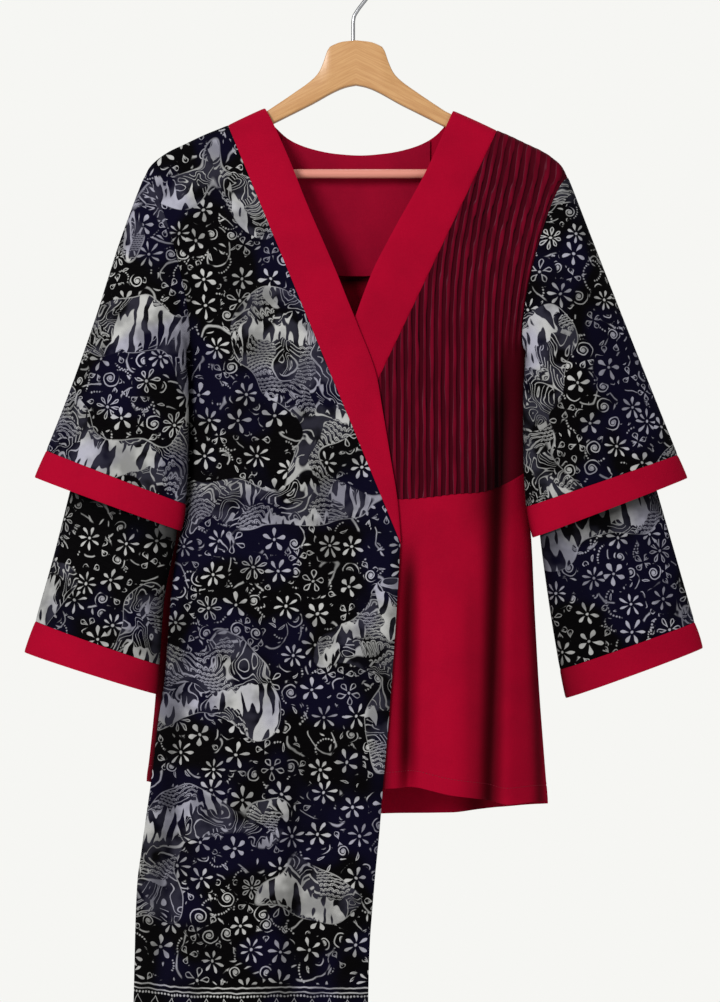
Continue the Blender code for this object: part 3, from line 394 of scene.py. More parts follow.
def edge_depth(side, face, down):
    """How far the edge stands off the middle plane, towards its own face."""
    seam = RIGHT_SEAM_FORWARD * wrap_share(down) if (side, face) == (RIGHT, FRONT) else 0.0
    return np.where(down < ARMPIT_DOWN, ARMHOLE_DEPTH * armhole_arc(down), seam)


def fold_at(row, x, down):
    """Strength of a fold or a painted shadow, which grows below its start and fades to both sides."""
    return ease((down - row.start) / row.rise) * bell((x - row.x - row.lean * (down - row.start)) / row.width)


def fold_shade(table, x, down):
    """How dark the shade painted into the cloth's colour is; below 0 on its inner face."""
    light = 1.0
    for row in table:
        light = light * (1 - row.dark * fold_at(row, x, down) * (1 - ease((down - row.end) / row.rise)))
    return 1 - light


def depth(face, fold_table, layer, x, down):
    """Distance of the body's cloth from the middle plane; a layer lies that much further in."""
    drop = np.maximum(down - shoulder_down(x), 0)
    near = np.sqrt(np.maximum(RIDGE_RADIUS**2 - np.maximum(RIDGE_RADIUS - drop, 0) ** 2, 0))
    far = read(HANG, "drop", "front" if face == FRONT else "back", drop)
    full = np.where(drop < RIDGE_RADIUS, near, far) - layer * ease(drop / UNDER_FULL)
    full = full + sum(fold.depth * fold_at(fold, x, down) for fold in fold_table)
    left = x > 0
    edge = np.where(left, side_edge(LEFT, face, down), side_edge(RIGHT, face, down))
    at_edge = np.where(left, edge_depth(LEFT, face, down), edge_depth(RIGHT, face, down))
    width = mix(TIP_ROUND, EDGE_ROUND, ease((down - TIP_DOWN) / 100))
    turn = np.sin(math.pi / 2 * np.clip((edge - np.abs(x)) / width, 0, 1))
    return at_edge + (full - at_edge) * turn


outer_surface = partial(depth, FRONT, OUTER_FOLDS, 0.0)
under_surface = partial(depth, FRONT, UNDER_FOLDS, UNDER_LAYER)
back_surface = partial(depth, BACK, BACK_FOLDS, 0.0)


def facing_surface(x, down):
    low = np.clip((down - FACING_DOWN) / CURL_HEIGHT + 1, 0, 1)
    near_edge = low * np.clip(1 - np.abs(x) / CURL_HALF_WIDTH, 0, 1)
    return back_surface(x, down) - FACING_INSET - FACING_CURL * near_edge**2


def armhole_out(side, face, angle):
    """Outward direction that the body and the sleeve share, by the turn from the shoulder's tip."""
    angle = np.asarray(angle)[..., None]
    run, fall = TIP_X - ARMPIT_X, ARMPIT_DOWN - TIP_DOWN
    long_way = np.where(np.cos(angle) > 0, unit([side * 0.75, 0, 0.66]), unit([side * run, 0, fall]))
    around = np.array([0, -face, 0]) * np.sin(angle) / ARMHOLE_DEPTH
    return unit(long_way * np.cos(angle) / (math.hypot(run, fall) / 2) + around)


def seam_edge(side, face, down):
    """A body panel's edge along the armhole and the side seam: middle points and outward ways."""
    above = down < ARMPIT_DOWN - 0.01
    at_armpit = np.abs(down - ARMPIT_DOWN) < 0.01
    around = wrap_share(down) * (side == RIGHT)
    out = unit(points(mix(side, side * 0.64, around), 0.77 * around, 0))
    edge, off = side_edge(side, FRONT, down), edge_depth(side, FRONT, down)
    x = np.where(above | at_armpit, side * (edge - GAP), side * edge + face * side * out[:, 1] * GAP)
    hole = face * np.maximum(edge_depth(side, face, down), GAP)
    seam = np.where(at_armpit, face * GAP, off + face * side * out[:, 0] * GAP)
    turned = armhole_out(side, face, np.arccos(1 - 2 * armhole_share(down)))
    out = np.where(above[:, None], turned, out)
    out[at_armpit] = unit([side, 0, -1])
    return points(x, np.where(above, hole, seam), down), out


def body_grid(face, surface, x, down, step=0.04):
    """Middle points of a body panel, and its outward ways from the slope of its depth."""
    across = (surface(x + step, down) - surface(x - step, down)) / (2 * step)
    along = (surface(x, down + step) - surface(x, down - step)) / (2 * step)
    out = unit(points(-across, float(face), -along))
    return points(x, face * np.maximum(surface(x, down), GAP), down), out


def onto_ridge(middle, out, face, where):
    """Lays some points on the shoulder seam, where the walls stand square to it."""
    laid = middle[where]
    laid[..., 1] = -face * GAP
    middle[where] = laid
    x = laid[..., 0]
    slope = np.clip(shoulder_down(x + 0.5) - shoulder_down(x - 0.5), -1.2, 1.2)
    out[where] = unit(points(slope, 0, -1))


def row_downs(top, bottom, side_rows):
    """Heights of a panel's rows in each column: the armhole's rows, then the side seam's."""
    upper = mix(top, ARMPIT_DOWN, ARMHOLE_ROWS[:, None])
    shares = (side_rows[:, None] - ARMPIT_DOWN) / (side_rows[-1] - ARMPIT_DOWN)
    return np.concatenate([upper, mix(ARMPIT_DOWN, bottom + 0 * top, shares)])


def start_from(x, exact):
    """Moves the columns of a grid so that its first row is exact, less and less further down."""
    return x + (exact - x[0]) * (1 - np.linspace(0, 1, len(x))[:, None]) ** 3


def add_mesh(name, vertices, faces, look, layers=None, sharp=None):
    """An object on the root body. With a sharp angle its faces are also turned outwards."""
    mesh = bpy.data.meshes.new(name)
    mesh.from_pydata((np.reshape(vertices, (-1, 3)) * MM).tolist(), [], faces)
    for label, values in (layers or {}).items():
        mesh.uv_layers.new(name=label).data.foreach_set("uv", values.astype(np.float32).reshape(-1))
    mesh.shade_smooth()
    if sharp:
        shape = bmesh.new()
        shape.from_mesh(mesh)
        bmesh.ops.recalc_face_normals(shape, faces=shape.faces)
        if shape.calc_volume(signed=True) < 0:
            bmesh.ops.reverse_faces(shape, faces=shape.faces)
        shape.to_mesh(mesh)
        shape.free()
        mesh.set_sharp_from_angle(angle=math.radians(sharp))
    mesh.materials.append(look)
    made = bpy.data.objects.new(name, mesh)
    bpy.context.scene.collection.objects.link(made)
    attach(made, "root")
    return made


def wall_faces(rows_, columns, ring):
    """Faces of a closed wall between two equal grids, and where on the cloth their corners lie."""
    count = rows_ * columns
    index = np.arange(count).reshape(rows_, columns)
    if ring:
        index = np.concatenate([index, index[:, :1]], axis=1)
    places = np.arange(index.size).reshape(index.shape)

    def quads(grid):
        return np.stack([grid[:-1, :-1], grid[1:, :-1], grid[1:, 1:], grid[:-1, 1:]], axis=-1).reshape(-1, 4)

    faces = [quads(index), quads(index)[:, ::-1] + count]
    corners = [quads(places), quads(places)[:, ::-1]]
    for border in [np.s_[0], np.s_[-1]] + ([] if ring else [np.s_[:, 0], np.s_[:, -1]]):
        line, place = index[border], places[border]
        faces.append(quads(np.stack([line, line + count]))[:, [0, 3, 2, 1]])
        corners.append(quads(np.stack([place, place]))[:, [0, 3, 2, 1]])
    return np.concatenate(faces).tolist(), np.concatenate(corners)


def solids_of(node):
    """The nodes that one cut piece stands for: a lower sleeve has four."""
    if node in ("sleeve_left_lower", "sleeve_right_lower"):
        return [f"{node}_{stretch}_{face}" for stretch in ("high", "low") for face in ("front", "back")]
    return [node]


def cloth_piece(node, middle, out, look, uv, hem=None, relief=0.0, ring=False, tucks=None, shade=None):
    """One cut piece of cloth in place of its solid, with rounded edges, and stitches along a hem."""
    along, across = lengths(middle, 0), lengths(middle, 1)
    to_hem = along[-1] - along
    raised = np.zeros(middle.shape[:2]) + relief
    for distance in [along, to_hem] + ([] if ring else [across, across[:, -1:] - across]):
        raised = raised - EDGE_ROLL * bell(distance / EDGE_ROLL_WIDTH)
    if hem:
        raised = raised + hem.fold * (1 - ease((to_hem - hem.depth) / hem.step))
        raised = raised - hem.groove * bell((to_hem - hem.stitch) / hem.groove_width)
    outer = middle + out * (CLOTH / 2 + raised)[..., None]
    faces, corners = wall_faces(*middle.shape[:2], ring)
    layers = {"Cloth": uv.reshape(-1, 2)[corners] * MM}
    if tucks is not None:
        layers["Tuck"] = tucks.reshape(-1, 2)[corners]
    # the painted shade goes into a Shade layer: on the outer faces from values above 0, on the inner faces
    # from values below 0
    if shade is not None:
        panes = (len(uv) - 1) * (uv.shape[1] - 1)
        dark = shade.reshape(-1)[corners]
        dark = np.concatenate([dark[:panes].clip(0, 1), -dark[panes:].clip(-1, 0)])
        layers["Shade"] = np.stack([dark, 0 * dark], axis=-1)
    walls = np.concatenate([outer, middle - out * CLOTH / 2])
    made = add_mesh(f"{node}_cloth", walls, faces, look, layers, 55)
    closed = np.concatenate([middle, middle[:, :1]], axis=1) if ring else middle
    a, b = closed[1:, 1:] - closed[:-1, :-1], closed[:-1, 1:] - closed[1:, :-1]
    cuts = [(lengths(closed, 1)[:, -1].max(), along[-1].max()), np.ptp(uv.reshape(-1, 2), axis=0)]
    cuts = [(width * MM, length * MM) for width, length in cuts]
    for solid in solids_of(node):
        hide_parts(solid)
    solids_of(node)[0]
    if hem:
        sew(outer, out, to_hem, hem.stitch)


def sew(surface, out, distance, inset):
    """Collects a row of stitches at a distance from a piece's lower edge."""
    line, ways = [], []
    for spots, outs, away in zip(*(grid[::-1].swapaxes(0, 1) for grid in (surface, out, distance))):
        place = np.interp(inset, away, np.arange(len(away)))
        low = min(int(place), len(away) - 2)
        line.append(mix(spots[low], spots[low + 1], place - low))
        ways.append(mix(outs[low], outs[low + 1], place - low))
    line, ways = np.array(line), np.array(ways)
    run = lengths(line, 0)

    def at(values, place):
        return np.array([np.interp(place, run, values[:, k]) for k in range(3)])

    for start in np.arange(2, run[-1] - 4, STITCH_PITCH):
        stitches.append((at(line, start), at(line, start + STITCH_LENGTH), unit(at(ways, start))))


def tube_faces(rings, sides, base=0):
    """Faces round a tube of rings, between two flat ends."""
    last = base + (rings - 1) * sides
    faces = [tuple(range(base, base + sides))[::-1], tuple(range(last, last + sides))]
    for start in range(base, last, sides):
        for a, b in zip(range(sides), [*range(1, sides), 0]):
            faces.append((start + a, start + b, start + sides + b, start + sides + a))
    return faces


def sew_all(name, look):
    """Makes one mesh of all the stitches that were collected since the last call."""
    vertices, faces = [], []
    for start, end, way in stitches:
        aside = np.cross(unit(end - start), way)
        faces += tube_faces(4, 6, len(vertices))
        for share, size, lift in ((0, 0.35, -0.1), (0.2, 1, 0.12), (0.8, 1, 0.12), (1, 0.35, -0.1)):
            centre = mix(start, end, share) + way * lift
            for angle in np.arange(6) * math.tau / 6:
                reach = aside * math.cos(angle) + way * math.sin(angle)
                vertices.append(centre + reach * THREAD / 2 * size)
    stitches.clear()
    add_mesh(name, vertices, faces, look)


def body_piece(node, look, face, surface, x, down, on_ridge=(), seams=(), **more):
    """A panel of the body. Some of its points lie on the shoulder seam, and some columns on a side's."""
    middle, out = body_grid(face, surface, x, down)
    for where in on_ridge:
        onto_ridge(middle, out, face, where)
    for side, at in seams:
        middle[:, at], out[:, at] = seam_edge(side, face, down[:, at])
    cloth_piece(node, middle, out, look, points(x, 0, down)[..., ::2], **more)


def right_front(look):
    """The long batik front, from the shoulder to its hem, with the wrap's free edge."""
    top_x = mix(-TIP_X, OUTER_EDGE[0].x, ACROSS_FRONT)
    down = row_downs(shoulder_down(top_x), LONG_HEM_DOWN, FRONT_ROWS)
    free = read(FREE_EDGE, "down", "x", down)
    right = np.where(down < OUTER_EDGE[1].down, on_line(OUTER_EDGE, down), free) - GAP
    x = mix(-side_edge(RIGHT, FRONT, down), right, ACROSS_FRONT)
    x = start_from(x, top_x - ACROSS_FRONT * GAP)
    shade = fold_shade(OUTER_SHADOWS, x, down)
    seams = [(RIGHT, 0)]
    body_piece("front_right_batik", look, FRONT, outer_surface, x, down, [0], seams, hem=NARROW, shade=shade)


def band_puff(across):
    return BAND_PUFF * np.sin(math.pi * across) ** 0.5


def front_band(node, look, surface, inner_edge, outer_edge, way):
    """A neckband along a wrap edge, from the shoulder seam to where it runs out."""
    shares = steps((0, 0.05, 10), (0.05, 1, 110))[:, None]
    outer_down = mix(outer_edge[0].down, outer_edge[1].down - BAND_END_GAP, shares)
    inner_down = mix(inner_edge[0].down, inner_edge[-1].down, shares)
    inner_x = read(inner_edge, "down", "x", inner_down)
    x = mix(inner_x, on_line(outer_edge, outer_down) + way * GAP, ACROSS_BAND)
    down = mix(inner_down, outer_down, ACROSS_BAND)
    body_piece(node, look, FRONT, surface, x, down, [0], relief=band_puff(ACROSS_BAND))


def tuck_x(place, down):
    """A tuck's line: straight up, leaning out above the chest, and along the armhole at its edge."""
    rise = np.maximum(TUCK_LEAN_FROM - down, 0)
    gentle = TUCK_LEAN * np.where(rise < TUCK_BEND, rise * rise / (2 * TUCK_BEND), rise - TUCK_BEND / 2)
    with_edge = side_edge(LEFT, FRONT, down) - ARMPIT_X
    softer = (TIP_X - ARMPIT_X) * (1 - armhole_share(down)) ** 1.5 * 0.92
    share = np.clip((place - TUCKS_TURN_X) / (ARMPIT_X - TUCKS_TURN_X), 0, 1) ** 2
    return place + mix(gentle, mix(softer, with_edge, share**4), share)


def tuck_tops(places):
    """Where each tuck's line meets the neckband or the shoulder seam."""
    low, high = (np.full(len(places), down) for down in (UNDER_EDGE[0].down - 12, UNDER_EDGE[1].down))
    for _ in range(50):
        middle = (low + high) / 2
        x = tuck_x(places, middle)
        below = (x > on_line(UNDER_EDGE, middle)) & (middle > shoulder_down(x))
        low, high = np.where(below, low, middle), np.where(below, middle, high)
    return (low + high) / 2


def tuck_grid():
    """Each column of the pintucked panel: its place at the seam, how far it is raised, its phase."""
    hidden = np.linspace(UNDER_EDGE[1].x + 4, TUCKS_FROM_X, 12, endpoint=False)
    grid = [(place, 0.0, 0.0) for place in hidden]
    pitch = (ARMPIT_X - TUCKS_FROM_X) / TUCKS
    for tuck in range(TUCKS):
        grid += [(TUCKS_FROM_X + (tuck + p.phase) * pitch, p.height, tuck + p.phase) for p in TUCK_PROFILE]
    return np.array(grid + [(ARMPIT_X, 0.0, TUCKS)]).T


def pintucked_front(look):
    """The panel of fine tucks, which run out beside the deep fold under the arm."""
    places, heights, phases = tuck_grid()
    top = tuck_tops(places)
    top[-1] = TIP_DOWN
    waist = waist_down(tuck_x(places, waist_down(tuck_x(places, WAIST_NEAR)))) - GAP
    shares = ARMHOLE_ROWS * (ARMPIT_DOWN - TIP_DOWN) / (waist[-1] - TIP_DOWN)
    shares = np.concatenate([shares, np.linspace(shares[-1], 1, 24)[1:]])[:, None]
    down = mix(top, waist, shares)
    x = tuck_x(places, down)
    on_band = x[0] < UNDER_EDGE[0].x
    x[:, on_band] += SEAM * (1 - shares)
    from_band = np.clip((x - read(BAND_INNER, "down", "x", down) - 1) / 4, 0, 1)
    drop = down - shoulder_down(x)
    fade = 1 - ease((x - TUCK_FADE_X) / TUCK_FADE_WIDTH) * ease((down - TUCK_FADE_DOWN) / TUCK_FADE_HEIGHT)
    tucks = np.stack([phases + 0 * down, fade * (0.7 + 0.3 * ease(drop / 60))], axis=-1)
    body_piece(
        "front_left_pintucked", look, FRONT, under_surface, x, down, [np.s_[0, ~on_band]], [(LEFT, -1)],
        relief=heights * from_band * fade * (0.12 + 0.88 * ease(drop / 36)), tucks=tucks,
        shade=fold_shade(UNDER_SHADOWS, x, down),
    )


def lower_front(look):
    """The plain red front below the pintucks."""
    start = UNDER_EDGE[1].x
    columns = steps((start, 0, 8), (0, ARMPIT_X, 90))
    spread = (columns - start) / (ARMPIT_X - start)

    def across(down):
        return columns + spread * (side_edge(LEFT, FRONT, down) - ARMPIT_X)

    top = waist_down(across(waist_down(across(WAIST_NEAR)))) + GAP
    bottom = read(LOWER_HEM, "x", "down", across(LOWER_HEM[-1].down))
    down = mix(top, bottom, steps((0, 0.02, 4), (0.02, 0.92, 60), (0.92, 1, 18))[:, None])
    x, seams = across(down), [(LEFT, -1)]
    shade = fold_shade(UNDER_SHADOWS, x, down)
    body_piece("front_left_lower", look, FRONT, under_surface, x, down, (), seams, hem=HEM, shade=shade)


def back_panel(look):
    """The red back, which wraps a little way round to the front at the right side."""
    first, last = BACK_NECK[0].outer_x, BACK_NECK[-1].outer_x
    neck_x = steps((first, -130, 5), (-130, 142, 60), (142, last, 6))
    top_x = np.concatenate([steps((3 - TIP_X, first, 18))[:-1], neck_x, steps((last, TIP_X, 18))[1:]])
    at_ends = (top_x == first) | (top_x == last)
    on_neck = (top_x > first) & (top_x < last)
    top = np.where(on_neck, read(BACK_NECK, "outer_x", "outer_down", top_x) + SEAM, shoulder_down(top_x))
    across = (top_x + TIP_X) / (2 * TIP_X)
    across[0] = 0
    hem_x = mix(-side_edge(RIGHT, BACK, BACK_HEM_RIGHT), side_edge(LEFT, BACK, BACK_HEM_LEFT), across)
    bottom = read(BACK_HEM, "x", "down", hem_x)
    bottom[0] = BACK_CORNER_DOWN
    down = row_downs(top, bottom, SIDE_ROWS)
    left = -side_edge(RIGHT, BACK, down) + (1 - wrap_share(down)) * 3
    x = mix(left, side_edge(LEFT, BACK, down), across)
    x = start_from(x, top_x + np.sign(top_x) * SEAM * at_ends)
    middle, out = body_grid(BACK, back_surface, x, down)
    onto_ridge(middle, out, BACK, np.s_[0, ~on_neck])
    out[:, 0] = unit(mix(out[:, 0], np.array([-1, 0, 0]), wrap_share(down[:, :1])))
    middle[:, -1], out[:, -1] = seam_edge(LEFT, BACK, down[:, -1])
    seam_down = row_downs(np.array([TIP_DOWN]), BACK_CORNER_DOWN, SIDE_ROWS)[:, 0]
    seam, seam_out = seam_edge(RIGHT, BACK, seam_down)
    middle, out = np.insert(middle, 0, seam, axis=1), np.insert(out, 0, seam_out, axis=1)
    x, down = np.insert(x, 0, x[:, 0] - STRIP_WIDTH, axis=1), np.insert(down, 0, down[:, 0], axis=1)
    # painted shade: under the facing and at the hem on the inner face, and along the strip beside the batik,
    # darkest at its seam
    shade = fold_shade(BACK_SHADOWS, x, down)
    shade[:, :2] = np.array([SEAM_SHADE, TURN_SHADE]) * ease((down[:, :1] - STRIP_FROM) / STRIP_RISE)
    cloth_piece("back", middle, out, look, points(x, 0, down)[..., ::2], HEM, shade=shade)


def back_neck_band(look):
    across, last = ACROSS_BAND[:, None], len(BACK_NECK) - 1
    stations = steps((0, 5, 25), (5, 13, 40), (13, last, 25))
    outer_x, outer_down, inner_x, inner_down = (
        through(range(last + 1), column(BACK_NECK, key), stations) for key in Neck._fields
    )
    x, down = mix(inner_x, outer_x, across), mix(inner_down, outer_down, across)
    ends = [np.s_[:, 0], np.s_[:, -1]]
    body_piece("back_neck_band", look, BACK, back_surface, x, down, ends, relief=band_puff(across))


def back_neck_facing(look):
    """The half-moon facing inside the back neck."""
    across = np.linspace(-FACING_HALF_WIDTH, FACING_HALF_WIDTH, 60)
    top = read(BACK_NECK, "inner_x", "inner_down", across) + 1
    bottom = FACING_DOWN - FACING_RISE * np.abs(across / FACING_HALF_WIDTH) ** 3
    down = mix(top, bottom, np.linspace(0, 1, 50)[:, None])
    body_piece("back_neck_facing", look, BACK, facing_surface, across + 0 * down, down)


def sleeve_points(side, table, along, half, face, bulge):
    """Middle of a sleeve's wall. half goes from 0 at the outer fold to 1 at the inner one."""
    share, round_off = (1 - np.cos(math.pi * half)) / 2, np.sin(math.pi * half)
    outer_x, outer_down, inner_x, inner_down, inner_forward, half_depth = (
        read(table, "along", key, along) for key in Ring._fields[1:]
    )
    x = mix(outer_x, inner_x, share) - bulge * np.clip(1 - along / BULGE_FADE, 0, 1) ** 2 * round_off
    forward = inner_forward * share + face * half_depth * round_off
    return points(side * x, forward, mix(outer_down, inner_down, share))


def sleeve(name, side, along, bulge, look, ripple, puff, cast):
    """A tube of cloth through a table's rings, with shade painted into its colour. cast is the upper sleeve's
    painted shadow on it.
    """
    half = np.linspace(1, 0, SLEEVE_HALF + 1)
    half = np.concatenate([half, half[-2:0:-1]])
    face = np.where(np.arange(len(half)) <= SLEEVE_HALF, FRONT, BACK)
    along = along[:, None]
    middle = sleeve_points(side, SLEEVES[name], along, half, face, bulge)
    around = np.roll(middle, -1, axis=1) - np.roll(middle, 1, axis=1)
    out = unit(np.cross(np.gradient(middle, axis=0), around) * side)
    turn = np.where(face == FRONT, half, 2 - half)
    waves = sum(w.depth * np.cos(w.count * math.pi * turn + w.shift) for w in SLEEVE_WAVES)
    waves = waves * ease((along - 0.1) / 0.9) * np.abs(np.sin(math.pi * turn)) ** 0.5
    middle = middle + out * (ripple * waves)[..., None]
    if bulge == ARMHOLE_BULGE:
        middle[0, :, 0] += side * np.interp(half, (0, 0.1, 0.8, 1), (0.3, 0.12, 0.12, 0.9))
        for at, (share, way) in enumerate(zip(half, face)):
            out[0, at] = armhole_out(side, way, math.pi * share)
    # painted shade: darker in the fold beside the body, more so on the lower sleeve, and the upper cuff's
    # painted shadow across the lower sleeve below it
    light = 1 - SLEEVE_SHADE * bell((1 - half) / 0.07)
    light = light * (1 - cast * LOWER_SHADE * bell((1 - half) / 0.25))
    cuff = 1 - ease((along - CUFF_EDGE + CUFF_SLANT * half) / CUFF_REACH)
    light = light * (1 - cast * CUFF_SHADE * cuff * (along < 1) * (bulge > 0))
    shade = 1 - np.concatenate([light, light[:, :1]], axis=1)
    uv = sleeve_uv(middle) + np.array([side * (SLEEVE_AWAY + bulge * TIER_AWAY), 0])
    relief = puff * np.sin(math.pi * (along - along[0]) / (along[-1] - along[0])) ** 0.5
    cloth_piece(f"sleeve_{name}", middle, out, look, uv, relief=relief, ring=True, shade=shade)


def sleeve_uv(middle):
    """Lays a sleeve out flat from its underarm seam: each ring is a straight line at its own slant."""
    arc = lengths(np.concatenate([middle, middle[:, :1]], axis=1), 1)
    front = SLEEVE_HALF // 2
    seen = middle[..., [0, 2]]
    across = unit(seen[:, SLEEVE_HALF] - seen[:, 0])
    flat = seen[:, front, None] + across[:, None] * (arc - arc[:, front:front + 1])[..., None]
    down = unit(seen[-1, front] - seen[0, front])
    return flat @ np.array([[-down[1], down[0]], [-down[0], -down[1]]]).T


def sleeves(side, word, batik, red):
    """Two tiers of a sleeve, each with its cuff band."""
    band = steps((BAND_FROM, 1, 16))
    upper, lower = steps((0, 0.05, 10), (0.05, 1, 90)), steps((0, 1, 90))
    for tier, along, bulge, cast in (("upper", upper, ARMHOLE_BULGE, 0), ("lower", lower, LOWER_BULGE, 1)):
        sleeve(f"{word}_{tier}", side, along * SLEEVE_TO, bulge, batik, SLEEVE_RIPPLE, 0, cast)
        sleeve(f"{word}_{tier}_band", side, band, 0, red, 0, CUFF_PUFF, cast)


def rod(name, node, path, radii, sides, look):
    """A round rod along a path in the middle plane, with a radius at each of its points."""
    path, radii = np.array(path, float), np.broadcast_to(radii, len(path))
    ways = unit(np.gradient(path, axis=0))
    angles = np.arange(sides) * math.tau / sides
    across = np.cos(angles) * radii[:, None]
    x, down = path[:, :1] - ways[:, 1:] * across, path[:, 1:] + ways[:, :1] * across
    loft(name, node, points(x, np.sin(angles) * radii[:, None], down), look)


def loft(name, node, grid, look):
    """A closed solid through rings of points, in place of a node."""
    made = add_mesh(name, grid, tube_faces(*grid.shape[:2]), look, sharp=40)
    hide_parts(node)


def hanger_wood(look):
    """Flat wooden arms with rounded edges."""
    half = steps((0, 30, 12), (30, 50, 20), (50, 195, 60), (195, ARM_TIP_X, 14))
    x = np.concatenate([-half[:0:-1], half])
    out = np.abs(x)
    head_end = HEAD[-1].x
    top = np.where(out < head_end, read(HEAD, "x", "down", out), shoulder_down(out) + ARM_CLEARANCE)
    bottom = read(UNDERSIDE, "x", "down", out)
    tip = np.clip((out - ARM_ROUND_X) / (ARM_TIP_X - ARM_ROUND_X), 0, 1)
    shrink = 1 - np.sqrt(1 - tip**2 * 0.96)
    middle = (top + bottom) / 2
    edges = {1: mix(top, middle, shrink * 0.6), -1: mix(bottom, middle, shrink * 0.6)}
    thick = ARM_THICKNESS / 2 * (1 - 0.35 * shrink)
    corner = np.linspace(0, math.pi / 2, 6)
    rings = []
    for way, end in ((1, 1), (1, -1), (-1, -1), (-1, 1)):
        for angle in corner if way == end else corner[::-1]:
            forward = way * (thick - ARM_BEVEL * (1 - math.sin(angle)) * CORNER)
            rings.append(points(x, forward, edges[end] + end * ARM_BEVEL * (1 - math.cos(angle)) * CORNER))
    loft("hanger_arms", "hanger_wood", np.stack(rings, axis=1), look)


def hanger_bar(look):
    ends, reach = BAR_HALF_LENGTH, BAR_HALF_LENGTH + TENON_LENGTH
    x = steps((-reach, -ends, 2), (-ends, ends, 60), (ends, reach, 2))
    radii = np.where(np.abs(x) < ends, BAR_DIAMETER / 2, TENON_DIAMETER / 2)
    rod("hanger_rod", "hanger_bar", [(at, BAR_DOWN) for at in x], radii, 40, look)


def hanger_hook(look):
    """A wire hook: a straight stem that bends over into the loop, with a rounded tip."""
    at = np.linspace(0, len(STEM) - 1, 40)
    stem = np.stack([through(range(len(STEM)), column(STEM, key), at) for key in Seam._fields], axis=-1)
    angles = np.radians(np.linspace(LOOP_FROM, LOOP_TO, 90))
    loop = np.stack([np.cos(angles), -np.sin(angles)], axis=-1) * LOOP_RADIUS + [0, LOOP_DOWN]
    path = np.concatenate([stem, loop])
    radii = np.full(len(path), WIRE / 2)
    radii[-5:] *= np.sqrt(1 - np.linspace(0.1, 0.95, 5) ** 2)
    rod("hanger_wire", "hanger_hook", path, radii, 24, look)


def linear(red, green, blue):
    """A colour from its screen values of 0 to 255."""
    values = [v / 255 for v in (red, green, blue)]
    return tuple(v / 12.92 if v <= 0.04045 else ((v + 0.055) / 1.055) ** 2.4 for v in values) + (1.0,)


def operation(name):
    """A method that works one operation out on an output and on what is given with it."""
    return lambda wire, *others: wire.node("Math", 0, enumerate((wire,) + others), operation=name)


class Wire:
    """One output of a material's node tree, with the nodes that can come after it."""

    def __init__(self, tree, socket=None):
        self.tree, self.socket = tree, socket

    def feed(self, socket, value):
        """Puts a number, a colour or another node's output into a socket."""
        if isinstance(value, Wire):
            self.tree.links.new(value.socket, socket)
        else:
            socket.default_value = value if isinstance(value, (tuple, list)) else float(value)

    def node(self, kind, output=0, inputs=(), **settings):
        """Adds a node, and gives one of its outputs, or a list of several."""
        node = self.tree.nodes.new(f"ShaderNode{kind}")
        for key, value in settings.items():
            setattr(node, key, value)
        for key, value in dict(inputs).items():
            self.feed(node.inputs[key], value)
        if isinstance(output, tuple):
            return [Wire(self.tree, node.outputs[key]) for key in output]
        return Wire(self.tree, node.outputs[output])

    __add__ = __radd__ = operation("ADD")
    __sub__ = operation("SUBTRACT")
    __mul__ = __rmul__ = operation("MULTIPLY")
    __truediv__ = operation("DIVIDE")
    low, high, power = operation("MINIMUM"), operation("MAXIMUM"), operation("POWER")
    sin, cos, abs = operation("SINE"), operation("COSINE"), operation("ABSOLUTE")
    fract, floor, log = operation("FRACT"), operation("FLOOR"), operation("LOGARITHM")
    above, below, atan2 = operation("GREATER_THAN"), operation("LESS_THAN"), operation("ARCTAN2")

    def __rsub__(self, other):
        return self * -1.0 + other

    def __rtruediv__(self, other):
        return self.power(-1.0) * other

    def vector(self, name, *others, output=0):
        return self.node("VectorMath", output, enumerate((self,) + others), operation=name)

    def scaled(self, *by):
        return self.vector("MULTIPLY", by)

    def shifted(self, by):
        return self.vector("ADD", by)

    def split(self):
        return self.node("SeparateXYZ", (0, 1, 2), {0: self})

    def join(self, y, z=0.0):
        return self.node("CombineXYZ", 0, {0: self, 1: y, 2: z})

    def noise(self, scale, detail=2.0, rough=0.5, output=0, twist=0.0, space="2D"):
        values = {"Vector": self, "Scale": scale, "Detail": detail, "Roughness": rough, "Distortion": twist}
        return self.node("TexNoise", output, values, noise_dimensions=space)

    def band(self, start, end):
        """Goes smoothly from 0 at start to 1 at end, which may lie below start."""
        values = {"Value": self, "From Min": min(start, end), "From Max": max(start, end)}
        values.update({"To Min": start > end, "To Max": start < end})
        return self.node("MapRange", 0, values, interpolation_type="SMOOTHSTEP")

    def line(self, half_width, soft):
        """1 on a line, where the distance is small, and 0 off it."""
        return self.abs().band(half_width + soft, max(half_width - soft, 0.0))

    def blend(self, a, b):
        """From a to b by this share; a colour is given by its screen values of 0 to 255."""
        a, b = (colour if isinstance(colour, Wire) else linear(*colour) for colour in (a, b))
        return self.node("Mix", 2, {0: self, 6: a, 7: b}, data_type="RGBA")

    def weave(self, per_metre):
        """Height of a plain weave's threads."""
        along, across = ((axis * (math.pi * per_metre)).sin() for axis in self.split()[:2])
        return along * along * 0.5 + across * across * 0.5

    def slub(self, x=1.0, y=7.0, scale=110.0):
        """Uneven thickness of the threads."""
        return self.scaled(x, y, 1.0).noise(scale, 3.0)


